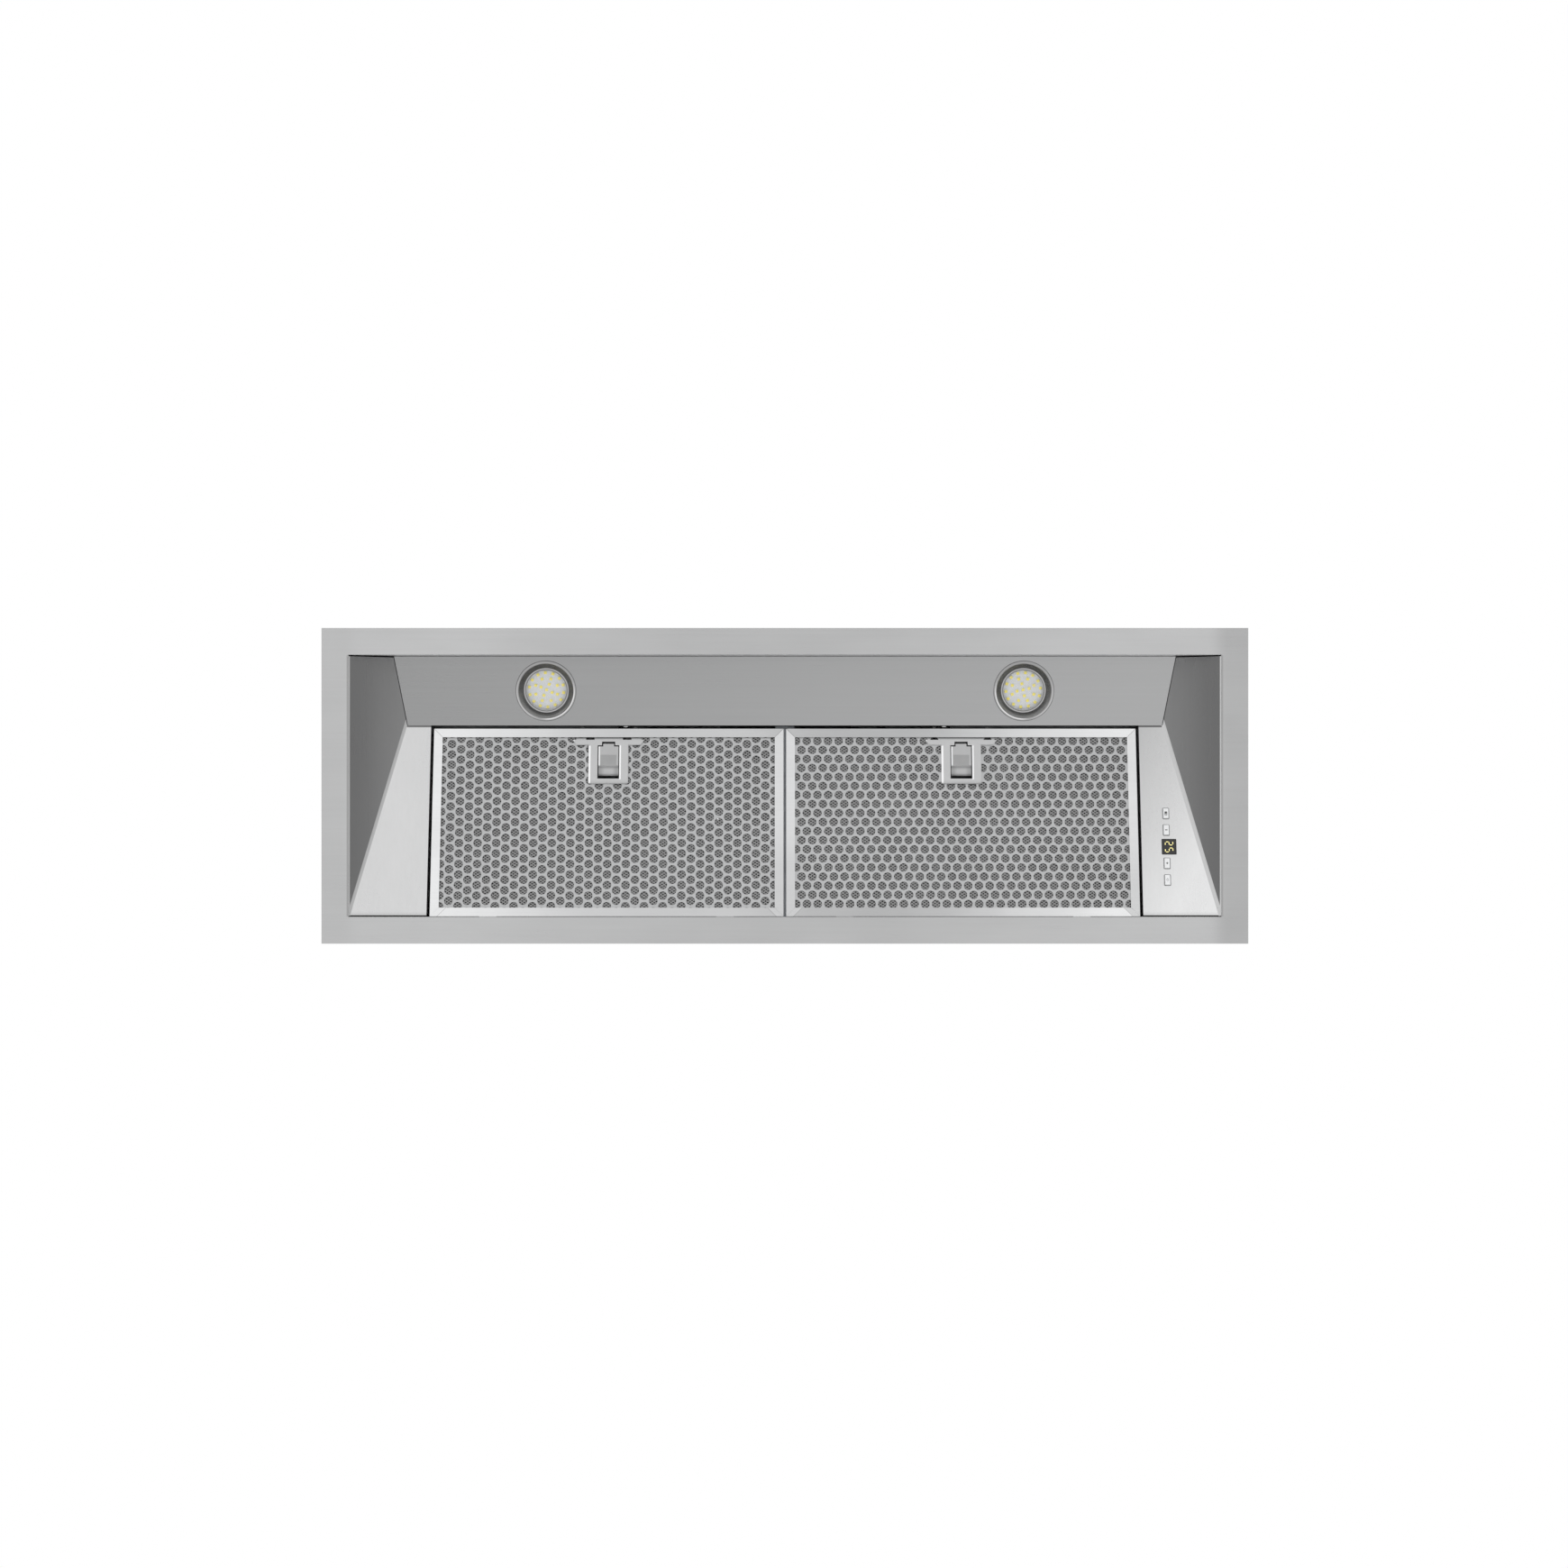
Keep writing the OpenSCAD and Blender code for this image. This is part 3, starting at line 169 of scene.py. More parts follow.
class Finish(Sheet):
    """A material under construction."""

    def __init__(self, name, metallic=0.0, roughness=0.5, **fixed):
        self.material = bpy.data.materials.new(name)
        self.material.use_nodes = True
        super().__init__(self.material.node_tree)
        self.shader = self.tree.nodes.new("ShaderNodeBsdfPrincipled")
        output = self.tree.nodes.new("ShaderNodeOutputMaterial")
        self.tree.links.new(self.shader.outputs[0], output.inputs["Surface"])
        self.set("Metallic", metallic)
        self.set("Roughness", roughness)
        for key, value in fixed.items():
            self.set(key.replace("_", " ").title().replace("Ior", "IOR"), value)

    def set(self, key, value):
        """Set one of the shader's inputs."""
        self.feed(self.shader.inputs[key], value)

    def place(self, scale=(1.0, 1.0, 1.0), turn=(0.0, 0.0, 0.0), origin=(0.0, 0.0, 0.0)):
        """Object coordinates in metres, seen from an origin, turned and stretched."""
        place = self.node("ShaderNodeTexCoord", output="Object")
        settings = {"operation": "SUBTRACT"}
        moved = self.node("ShaderNodeVectorMath", settings, {0: place, 1: origin})
        inputs = {"Vector": moved, "Rotation": turn, "Scale": scale}
        return self.node("ShaderNodeMapping", {}, inputs)

    def in_plane(self, plane):
        """Object coordinates in metres, along a sloped plane's own directions."""
        turn = plane.turn.transposed().to_euler()
        return self.parts(self.place(turn=turn))

    def noise(self, place, scale=1.0, detail=2.0, rough=0.5):
        """Smooth noise from 0 to 1."""
        inputs = {"Vector": place, "Scale": scale, "Detail": detail, "Roughness": rough}
        return self.node("ShaderNodeTexNoise", {}, inputs, "Fac")

    def blend(self, share, first, second):
        """Mix two colours by a share."""
        settings = {"data_type": "RGBA"}
        inputs = {0: share, 6: first, 7: second}
        return self.node("ShaderNodeMix", settings, inputs, 2)

    def shade(self, colour, strength):
        """A colour made lighter or darker by a strength around 1."""
        grey = self.node("ShaderNodeCombineColor", {}, {0: strength, 1: strength, 2: strength})
        settings = {"data_type": "RGBA", "blend_type": "MULTIPLY"}
        return self.node("ShaderNodeMix", settings, {0: 1.0, 6: colour, 7: grey}, 2)

    def bump(self, height, depth, strength=1.0):
        """Feed a height pattern, in metres at full depth, to the surface normal."""
        inputs = {"Height": height, "Distance": depth, "Strength": strength}
        self.set("Normal", self.node("ShaderNodeBump", {}, inputs, "Normal"))


def facing(node):
    """Unit normal of a node's largest flat face that looks down."""
    mesh = nodes[node].data
    count = len(mesh.polygons)
    normals = np.zeros(count * 3)
    areas = np.zeros(count)
    mesh.polygons.foreach_get("normal", normals)
    mesh.polygons.foreach_get("area", areas)
    normals = normals.reshape(-1, 3).round(4)
    best = {}
    for normal, area in zip(map(tuple, normals), areas):
        if normal[2] < -0.5:
            best[normal] = best.get(normal, 0.0) + area
    return Vector(max(best, key=best.get)).normalized()


class Plane:
    """A sloped face of the hood: X across, then along the slope to the back, then up."""

    def __init__(self, node):
        up = -facing(node)
        along = up.cross(Vector((1, 0, 0))).normalized()
        self.matrix = Matrix((Vector((1, 0, 0)), along, up)).transposed().to_4x4()
        self.turn = self.matrix.to_3x3()

    def points(self, node):
        """Corners of a node in this plane's directions, one row each."""
        return points_of(nodes[node].data) @ np.array(self.turn)

    def box(self, node):
        """Lowest and highest corner of a node, measured in this plane's directions."""
        local = self.points(node)
        return Vector(local.min(0)), Vector(local.max(0))


SLOPE = Plane("filter_mesh_left")
LAMP_PLANE = Plane("light_panel")


def grey(value, blue=0.0):
    """A grey colour, a little cooler with more blue."""
    return (value - blue, value, value + blue, 1.0)


def drawn_out(across, along, axis):
    """Scale of a pattern on X, Y and Z, finer across than along an axis."""
    scale = [across] * 3
    scale[axis] = along
    return scale


def strip(value, low, high, soft=0.3 * MM):
    """1 between two limits, with soft ends."""
    return value.ramp(low - soft, low + soft) * value.ramp(high + soft, high - soft)


def brushed(name, tone, along, roughness=0.3, grain=0.05, cloud=0.05, cloud_size=0.09, painted_light=None):
    """Brushed stainless steel with its grain along an axis, and a soft uneven cloud; where a function
    is given, it adds painted sheen and shade.
    """
    finish = Finish(name, metallic=1.0)
    hair = finish.noise(finish.place(drawn_out(1100.0, 14.0, along)), detail=3.0, rough=0.6)
    band = finish.noise(finish.place(drawn_out(320.0, 3.0, along)), detail=2.0)
    stretched = finish.place(drawn_out(1.0, 0.45, along))
    soft = finish.noise(stretched, scale=1.0 / cloud_size, detail=2.0)
    strength = 1.0 + (hair - 0.5) * grain + (band - 0.5) * grain + (soft - 0.5) * cloud
    # Painted sheen and shade from the given function
    if painted_light:
        strength = strength * painted_light(finish)
    finish.set("Base Color", finish.shade(grey(tone, 0.002), strength))
    finish.set("Roughness", roughness + (hair - 0.5) * 0.12 + (soft - 0.5) * 0.06)
    finish.bump(hair, 0.02 * MM, 0.35)
    return finish


def flange_sheen(finish):
    """Painted sheen: the flange is lighter towards its ends and darkest on its right strip."""
    x = finish.parts(finish.place())[0]
    ends = abs(x).ramp(100 * MM, 320 * MM) * 0.09
    right = x.ramp(392 * MM, 412 * MM) * 0.16
    left = (-x).ramp(392 * MM, 412 * MM) * 0.05
    return 0.98 + ends - right - left


def flange_steel():
    """Steel of the flange, with painted shade where it is bent round the sides of the opening."""
    finish = brushed("Flange_steel", 0.50, 0, cloud=0.14, cloud_size=0.05, painted_light=flange_sheen)
    x, y, _ = finish.parts(finish.place())
    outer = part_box("flange_frame")[1]
    half_w = outer.x - FLANGE_STRIP
    half_d = outer.y - FLANGE_STRIP
    # Painted shade along the bend round each side of the opening
    off = abs(abs(x) - (half_w + 0.9 * MM))
    beside = off.ramp(1.2 * MM, 0.3 * MM) * abs(y).ramp(half_d + 0.5 * MM, half_d - MM)
    base = finish.shader.inputs["Base Color"].links[0].from_socket
    finish.set("Base Color", finish.blend(beside, Value(finish, base), grey(0.37)))
    return finish


def panel_sheen(finish):
    """Painted sheen: the light panel grows lighter from left to right."""
    x = finish.parts(finish.place())[0]
    return 0.985 + x * 0.28


def panel_edge(side):
    """The line where a side panel's flat face ends: its X at Y = 0, and how much X grows with Y."""
    corners = SLOPE.points(f"side_liner_{side}")
    face = SLOPE.box("filter_frame_left")[0].z
    flat = corners[np.abs(corners[:, 2] - face) < 0.05 * MM]
    out = np.abs(flat[:, 0])
    y = flat[:, 1]
    front_y = y.min()
    front_x = out[y < front_y + 0.1 * MM].max()
    before_foot = y < y.max() - 5 * MM
    rear = out[before_foot].argmax()
    growth = float((out[before_foot][rear] - front_x) / (y[before_foot][rear] - front_y))
    return float(front_x - front_y * growth), growth


# Painted shade of each liner's fold, how far it reaches on to the flat panel, and tone of the painted
# highlight on its foot
LINER_LOOKS = {"left": (0.66, 0.2 * MM, 0.62), "right": (0.86, 1.1 * MM, 0.84)}


def liner_sheen(finish, side, panel):
    """Painted sheen of a liner: its side panel with shaded ends, then the painted shade of its fold and
    its dark wall, and a painted highlight on its foot.
    """
    x, y, height = finish.in_plane(SLOPE)
    fold_tone, fold_reach, foot_tone = LINER_LOOKS[side]
    lo = SLOPE.box(f"filter_frame_{side}")[0]
    hi = SLOPE.box(f"side_liner_{side}")[1]
    # Painted shade at the front seam and the back end of the side panel
    seam = y.ramp(lo.y - 1.1 * MM, lo.y - 1.8 * MM)
    back = y.ramp(hi.y - 1.1 * MM, hi.y - 0.6 * MM)
    panel = panel * (1.0 - seam.most(back) * 0.75) * (1.0 - y.ramp(hi.y - 5 * MM, hi.y) * 0.16)
    edge, growth = panel_edge(side)
    inward = y * growth + edge - abs(x)
    fold_start = SLOPE.box("filter_frame_left")[0].z - 0.8 * MM
    bent = height.ramp(fold_start, fold_start - 0.3 * MM)
    fold = bent.most(inward.ramp(fold_reach + 0.2 * MM, fold_reach - 0.2 * MM))
    wall = height.ramp(fold_start - 1.2 * MM, fold_start - 1.5 * MM)
    # Painted shade on the end wall, lighter towards the fold
    wall_tone = 0.24 + finish.parts(finish.place())[2].ramp(0.0, 45 * MM) * 0.11
    # Painted highlight on the liner's foot, seen at the edge of the opening
    foot_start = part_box("side_liner_right")[1].x - FOOT_WIDTH
    foot = abs(x).ramp(foot_start - 0.1 * MM, foot_start + 0.1 * MM)
    painted_light = panel * (1.0 - fold) + fold * fold_tone
    painted_light = painted_light * (1.0 - wall) + wall_tone * wall
    return painted_light * (1.0 - foot) + foot * foot_tone


def left_sheen(finish):
    """Painted sheen of the left liner: its side panel is even."""
    x = finish.parts(finish.place())[0]
    return liner_sheen(finish, "left", 1.0 - (x + 0.39) * 0.1)


def right_sheen(finish):
    """Painted sheen of the right liner: its side panel grows lighter to the back and the right."""
    x, y, _ = finish.parts(finish.place())
    panel = (0.90 + (x - 0.34) * 3.6 + y * 1.9).least(1.20)
    return liner_sheen(finish, "right", panel)


def tray_inside_shade(finish):
    """Inside the tray the sheet is darkened with painted shade."""
    x, y, z = finish.parts(finish.place())
    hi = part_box("tray_shell")[1]
    edge = 0.5 * MM
    inner = abs(x).ramp(hi.x - edge, hi.x - 2 * edge) * abs(y).ramp(hi.y - edge, hi.y - 2 * edge)
    return 1.0 - inner * z.ramp(hi.z - edge, hi.z - 2 * edge) * 0.64


def zinc_sheet(name="Zinc_sheet", tone=0.58, painted_light=None):
    """Galvanised sheet with its spangle of crystals; where a function is given, it adds painted shade.
    """
    finish = Finish(name, metallic=0.9)
    place = finish.place()
    wave = finish.noise(place, scale=40.0, detail=1.0)
    warped = finish.node("ShaderNodeVectorMath", {"operation": "ADD"}, {0: place})
    shift = finish.node("ShaderNodeCombineXYZ", {}, {0: wave * 0.006, 1: wave * 0.004, 2: wave * 0.005})
    finish.feed(warped.socket.node.inputs[1], shift)
    cells = finish.node("ShaderNodeTexVoronoi", {}, {"Vector": warped, "Scale": 95.0}, "Color")
    crystal = finish.parts(cells)[0]
    cloud = finish.noise(place, scale=9.0, detail=3.0)
    strength = 0.9 + crystal * 0.16 + (cloud - 0.5) * 0.1
    # Painted shade from the given function
    if painted_light:
        strength = strength * painted_light(finish)
    finish.set("Base Color", finish.shade((tone - 0.012, tone, tone + 0.016, 1.0), strength))
    finish.set("Roughness", 0.36 + crystal * 0.16)
    finish.bump(cloud, 0.3 * MM, 0.2)
    return finish


def grid_sheen(finish):
    """The back grid is lighter on top and has painted shade below, like the mesh it holds."""
    height = finish.in_plane(SLOPE)[2]
    top = SLOPE.box("filter_grid_left")[1].z
    return 0.38 + height.ramp(top - 0.6 * MM, top - 0.2 * MM) * 0.62


def rail_sheen(finish):
    """Painted sheen: side rails are lighter, darker to the right and the back; cross rails are darker
    to the middle; mitres show as fine dark lines.
    """
    x, y, _ = finish.in_plane(SLOPE)
    lo, hi = SLOPE.box("filter_frame_right")
    from_side = (abs(x) - lo.x).least(hi.x - abs(x))
    from_end = (y - lo.y).least(hi.y - y)
    beside = (from_end - from_side).ramp(-0.1 * MM, 0.1 * MM)
    mitre = abs(from_end - from_side).ramp(0.55 * MM, 0.2 * MM)
    outer = abs(x).ramp(140 * MM, 335 * MM)
    # Painted shade on the middle of the cross rails
    middle_shade = strip(x, 0.0, 160 * MM, 60 * MM) * 0.16
    cross_rail = 0.84 + outer * 0.34 - middle_shade
    shaded = x.ramp(-200 * MM, 0.0) * (0.04 + y.ramp(0.0, 110 * MM) * 0.14)
    side_rail = 1.06 + outer * 0.12 - shaded - x.ramp(250 * MM, 330 * MM) * 0.08
    return (cross_rail + (side_rail - cross_rail) * beside) * (1.0 - mitre * 0.3)


def face_sheen(finish):
    """The face sheet is shaded below its front rail, most of all between rail and latch bar."""
    x, y, _ = finish.in_plane(SLOPE)
    rail_end = SLOPE.box("filter_frame_left")[0].y + RAIL_WIDTH
    bar_lo, bar_hi = SLOPE.box("latch_bezel_right")
    beside = strip(abs(x), bar_lo.x, bar_hi.x, MM)
    return 1.0 - y.ramp(rail_end + 1.8 * MM, rail_end + 0.6 * MM) * (0.35 + beside * 0.35)


def filter_alloy(name, tone, along, roughness=0.3, painted_light=None):
    """Rolled aluminium of the filters, bright along its drawing lines; where a function is given, it
    adds painted sheen and shade.
    """
    finish = Finish(name, metallic=1.0)
    line = finish.noise(finish.place(drawn_out(700.0, 20.0, along)), detail=2.0)
    cloud = finish.noise(finish.place(), scale=28.0, detail=2.0)
    strength = 1.0 + (line - 0.5) * 0.08 + (cloud - 0.5) * 0.1
    # Painted sheen and shade from the given function
    if painted_light:
        strength = strength * painted_light(finish)
    finish.set("Base Color", finish.shade(grey(tone, 0.004), strength))
    finish.set("Roughness", roughness + (cloud - 0.5) * 0.1)
    finish.bump(line, 0.03 * MM, 0.3)
    return finish


# Layers of the expanded mesh: height in the pack, diamond length and width, strand radius, waves
MESH_LAYERS = (
    (0.13, 3.9, 2.75, 0.50, 0.9, 0.0),
    (0.42, 5.2, 3.6, 0.50, 1.3, 1.9),
    (0.76, 6.2, 4.2, 0.55, 1.1, 4.1),
)
LAYER_FINISHES = ("mesh_front", "mesh_middle", "mesh_back")
# Tone of the mesh where no painted shade darkens it
MESH_UNSHADED = 0.50


def mesh_alloy(name, tone, layer):
    """Aluminium of one sheet of expanded mesh, with painted shade on its lower side."""
    finish = Finish(name, metallic=0.85)
    cloud = finish.noise(finish.place(), scale=120.0, detail=3.0)
    broad = finish.noise(finish.place(), scale=16.0, detail=2.0)
    lo, hi = SLOPE.box("filter_mesh_left")
    middle = lo.z + (hi.z - lo.z) * MESH_LAYERS[layer][0]
    # Painted shade below the middle of each strand, lighter above
    above = finish.in_plane(SLOPE)[2].ramp(middle + 0.12 * MM, middle + 0.30 * MM)
    tone = tone + above * (MESH_UNSHADED - tone)
    strength = (0.85 + cloud * 0.25 + (broad - 0.5) * 0.2) * tone
    finish.set("Base Color", finish.shade(grey(1.0), strength))
    finish.set("Roughness", 0.38 + cloud * 0.2)
    return finish


def latch_bezel_steel(side):
    """Pressed latch bezel: painted highlights at its left edge, the right side of its window and its
    bar's tip, and painted shade deep inside and towards its lower end.
    """
    finish = Finish(f"Latch_bezel_steel_{side}", metallic=1.0)
    x, y, z = finish.in_plane(SLOPE)
    lo, hi = SLOPE.box(f"latch_bezel_{side}")
    middle = (lo.x + hi.x) / 2
    outer_edge = middle - 18.7 * MM
    window_edge = middle + 10.2 * MM
    bar_end = lo.y + 6.0 * MM
    below_bar = y.ramp(bar_end - 0.4 * MM, bar_end + 0.2 * MM)
    outer = strip(x, outer_edge, outer_edge + 1.9 * MM) * below_bar
    outer = outer * y.ramp(hi.y - 0.2 * MM, hi.y - MM)
    inner = strip(x, window_edge, window_edge + 1.5 * MM)
    inner = inner * y.ramp(bar_end - MM, bar_end) * y.ramp(hi.y - 3.6 * MM, hi.y - 4.6 * MM)
    bar_tip = strip(x, lo.x - MM, lo.x + 1.3 * MM) * y.ramp(bar_end, bar_end - MM)
    low = y.ramp(hi.y - 4.0 * MM, hi.y)
    skin = finish.noise(finish.place(), scale=700.0, detail=2.0)
    cloud = finish.noise(finish.place(), scale=80.0, detail=2.0)
    # Painted shade deep inside the latch
    deep_shade = z.ramp(lo.z + 2.0 * MM, lo.z + 3.0 * MM)
    # Painted highlights on the edges, and painted shade towards the lower end
    light = (outer + inner).most(bar_tip * 0.8)
    tone = 0.56 + light * 0.42 - low * 0.07 + (cloud - 0.5) * 0.05
    tone = tone * (1.0 - deep_shade * 0.75)
    finish.set("Base Color", finish.shade(grey(1.0, 0.004), tone))
    finish.set("Roughness", 0.34 + (skin - 0.5) * 0.12)
    finish.bump(skin, 0.03 * MM, 0.3)
    return finish


def latch_tab_alloy(side):
    """Sliding tab: a painted highlight on its left edge, a matt thumb mark, and painted shade in its
    scoop towards its ends and top, in the slot before it and on its wings.
    """
    finish = Finish(f"Latch_tab_alloy_{side}", metallic=1.0)
    x, y, z = finish.in_plane(SLOPE)
    lo, hi = SLOPE.box(f"latch_tab_{side}")
    middle = (lo.x + hi.x) / 2
    half = 9.3 * MM
    thumb_half = 7.4 * MM
    scoop_start = hi.y - 9.0 * MM
    # Painted highlight on the tab's left edge
    edge = strip(x, middle - half, middle - half + 1.2 * MM)
    edge = edge * y.ramp(scoop_start - 0.2 * MM, scoop_start - 0.8 * MM)
    thumb = strip(x, middle - thumb_half, middle + thumb_half)
    thumb = thumb * strip(y, scoop_start - 11.0 * MM, scoop_start - 1.3 * MM)
    # Painted shade in the scoop, towards its ends and top
    scoop = y.ramp(scoop_start - 0.4 * MM, scoop_start)
    ends = abs(x - middle).ramp(3.0 * MM, 7.5 * MM)
    top = y.ramp(scoop_start + 3.0 * MM, scoop_start)
    inside = scoop * (1.0 - (1.0 - ends * 0.45) * (1.0 - top * 0.7))
    # Painted shade deep in the slot before the tab and on the wings beside it
    deep_shade = z.ramp(lo.z + 1.5 * MM, lo.z + 1.7 * MM) * y.ramp(hi.y - 28.0 * MM, hi.y - 28.2 * MM)
    wing_shade = abs(x - middle).ramp(half - 0.02 * MM, half + 0.04 * MM)
    wing_shade = wing_shade * z.ramp(lo.z + 0.5 * MM, lo.z + 0.7 * MM)
    skin = finish.noise(finish.place(), scale=700.0, detail=2.0)
    cloud = finish.noise(finish.place(), scale=90.0, detail=2.0)
    tone = 0.49 + edge * 0.46 - thumb * 0.11 - inside * 0.24 + (cloud - 0.5) * 0.05
    tone = tone * (1.0 - deep_shade.most(wing_shade) * 0.85)
    finish.set("Base Color", finish.shade(grey(1.0, 0.004), tone))
    finish.set("Roughness", 0.36 + (skin - 0.5) * 0.12)
    finish.bump(skin, 0.03 * MM, 0.3)
    return finish


def cast_metal(name, tone, roughness=0.45):
    """Die cast or turned metal with a fine skin."""
    finish = Finish(name, metallic=1.0)
    skin = finish.noise(finish.place(), scale=900.0, detail=2.0)
    cloud = finish.noise(finish.place(), scale=45.0, detail=2.0)
    finish.set("Base Color", finish.shade(grey(tone, 0.003), 0.94 + cloud * 0.12))
    finish.set("Roughness", roughness + (skin - 0.5) * 0.15)
    finish.bump(skin, 0.04 * MM, 0.3)
    return finish


def moulded(name, colour, roughness=0.45, grain=900.0):
    """Moulded plastic with a fine grain and slight flow marks."""
    finish = Finish(name, metallic=0.0)
    skin = finish.noise(finish.place(), scale=grain, detail=2.0)
    flow = finish.noise(finish.place(), scale=30.0, detail=2.0)
    finish.set("Base Color", finish.shade((*colour, 1.0), 0.93 + flow * 0.14))
    finish.set("Roughness", roughness + (skin - 0.5) * 0.2)
    finish.bump(skin, 0.05 * MM, 0.5)
    return finish


def lamp_place(finish):
    """Distance from the axis of the nearer lamp, and the two directions on its face."""
    x, y, _ = finish.in_plane(LAMP_PLANE)
    lo, hi = LAMP_PLANE.box("lamp_lenses")
    radius = (hi.y - lo.y) / 2
    outward = abs(x) - (hi.x - radius)
    backward = y - (hi.y + lo.y) / 2
    distance = (outward * outward + backward * backward) ** 0.5
    return distance, outward / distance, backward / distance


# Radii on a lamp's bezel: the ledge round its glass, the foot of its cone, its lip and its rim
LEDGE_R = 20.0 * MM
CONE_R = 21.2 * MM
LIP_R = 26.2 * MM
RIM_R = 28.3 * MM


def lamp_bezel_steel():
    """Polished lamp bezel: its cone has a painted reflection of the dark recess, and its lip painted
    highlights low and inward, with painted shade at its rim.
    """
    finish = Finish("Lamp_bezel_steel", metallic=1.0)
    distance, outward, backward = lamp_place(finish)
    cone = distance.ramp(LIP_R, LIP_R - 1.2 * MM) * distance.ramp(CONE_R - 0.6 * MM, CONE_R)
    depth = distance.ramp(CONE_R + MM, LIP_R - MM) * backward.ramp(-0.1, 0.9)
    grime = finish.noise(finish.place(), scale=1100.0, detail=2.0)
    # Painted reflection of the dark recess on the cone, lighter to the back
    cone_tone = 0.16 + depth * 0.30 + outward.ramp(0.2, -0.9) * 0.05 + (grime - 0.5) * 0.16
    # Painted highlights on the lip, and painted shade at the rim
    glint = distance.ramp(LIP_R - 0.4 * MM, LIP_R)
    glint = glint * distance.ramp(LIP_R + 1.2 * MM, LIP_R + 0.6 * MM)
    glint = glint * backward.ramp(-0.5, 0.2) * outward.ramp(0.25, -0.15)
    line = strip(distance, LEDGE_R - 0.9 * MM, LEDGE_R, 0.1 * MM)
    ledge = distance.ramp(CONE_R + 0.4 * MM, CONE_R + 0.1 * MM) * 0.12
    rim = distance.ramp(RIM_R - 0.4 * MM, RIM_R) * 0.10
    speck = finish.noise(finish.place(), scale=900.0, detail=2.0)
    far = strip(distance, LIP_R + 0.6 * MM, LIP_R + 1.4 * MM)
    far = far * backward.ramp(-0.6, 0.1) * outward.ramp(0.1, 0.6)
    lip_tone = 0.37 - rim + ledge + glint * 0.42 - line * 0.30 + far * 0.20
    tone = lip_tone * (1.0 - cone) + cone_tone * cone
    finish.set("Base Color", finish.shade(grey(1.0), tone * (0.95 + speck * 0.1)))
    finish.set("Roughness", 0.30 + speck * 0.08)
    return finish


def clear_glass():
    """The lamps' clear glass, with a faint uneven film."""
    finish = Finish("Lamp_glass", roughness=0.12, ior=1.45)
    film = finish.noise(finish.place(), scale=160.0, detail=3.0)
    patch = finish.noise(finish.place(), scale=70.0, detail=1.0)
    finish.set("Base Color", finish.shade((0.86, 0.87, 0.88, 1.0), 0.96 + film * 0.06))
    finish.set("Alpha", 0.03 + film * 0.02 + patch.ramp(0.55, 0.75) * 0.06)
    return finish


def board_white():
    """White solder mask of the lamps' boards."""
    finish = Finish("Lamp_board_white", roughness=0.45)
    speck = finish.noise(finish.place(), scale=260.0, detail=2.0)
    finish.set("Base Color", finish.shade((0.85, 0.865, 0.88, 1.0), 0.96 + speck * 0.06))
    finish.bump(speck, 0.05 * MM, 0.4)
    return finish


def chip_yellow():
    """Phosphor of the light chips, off, with a faint painted glow."""
    finish = Finish("Chip_phosphor", roughness=0.35)
    speck = finish.noise(finish.place(), scale=1200.0, detail=2.0)
    phosphor = finish.shade((0.98, 0.84, 0.16, 1.0), 0.94 + speck * 0.12)
    finish.set("Base Color", phosphor)
    # Painted glow on chips that are off
    finish.set("Emission Color", phosphor)
    finish.set("Emission Strength", 0.1)
    finish.bump(speck, 0.03 * MM, 0.4)
    return finish


def display_black():
    """Smoked window in front of the display."""
    finish = Finish("Display_window", ior=1.49)
    film = finish.noise(finish.place(), scale=400.0, detail=3.0)
    finish.set("Base Color", finish.shade((0.030, 0.030, 0.031, 1.0), 0.85 + film * 0.3))
    finish.set("Roughness", 0.16 + film * 0.1)
    return finish


def digit_glow():
    """Lit segments of the display."""
    finish = Finish("Display_digits", roughness=0.4)
    patch = finish.noise(finish.place(), scale=700.0, detail=1.0)
    lit = finish.shade((0.92, 0.83, 0.34, 1.0), 0.95 + patch * 0.1)
    finish.set("Base Color", lit)
    finish.set("Emission Color", lit)
    finish.set("Emission Strength", 1.0)
    return finish


def button_cap():
    """Near white button with painted shade on its bevelled edge."""
    finish = Finish("Button_plastic", roughness=0.32)
    height = finish.in_plane(SLOPE)[2]
    face = SLOPE.box("button_minus")[0].z
    edge = height.ramp(face + 0.06 * MM, face + 0.3 * MM)
    speck = finish.noise(finish.place(), scale=1500.0, detail=2.0)
    # Painted shade on the bevelled edge
    tone = 0.97 - edge * 0.55
    finish.set("Base Color", finish.shade(grey(1.0, 0.01), tone * (0.97 + speck * 0.06)))
    finish.bump(speck, 0.02 * MM, 0.4)
    return finish


def board_green():
    """Circuit board with its tracks."""
    finish = Finish("Circuit_board", roughness=0.35)
    settings = {"distance": "CHEBYCHEV"}
    cells = finish.node("ShaderNodeTexVoronoi", settings, {"Vector": finish.place(), "Scale": 330.0})
    track = cells.ramp(0.42, 0.5)
    base = finish.blend(track, (0.02, 0.13, 0.05, 1.0), (0.05, 0.24, 0.10, 1.0))
    finish.set("Base Color", base)
    finish.bump(track, 0.05 * MM, 0.6)
    return finish


def icon_print(name, tone):
    """Printed mark on a button."""
    finish = Finish(name, roughness=0.5)
    wear = finish.noise(finish.place(), scale=1500.0, detail=2.0)
    finish.set("Base Color", finish.shade(grey(tone), 0.9 + wear * 0.2))
    return finish


def dress(names, finish):
    """Give CAD nodes a finish in each of their material slots."""
    for name in names.split():
        mesh = nodes[name].data
        if not mesh.materials:
            mesh.materials.append(finish.material)
        for index in range(len(mesh.materials)):
            mesh.materials[index] = finish.material


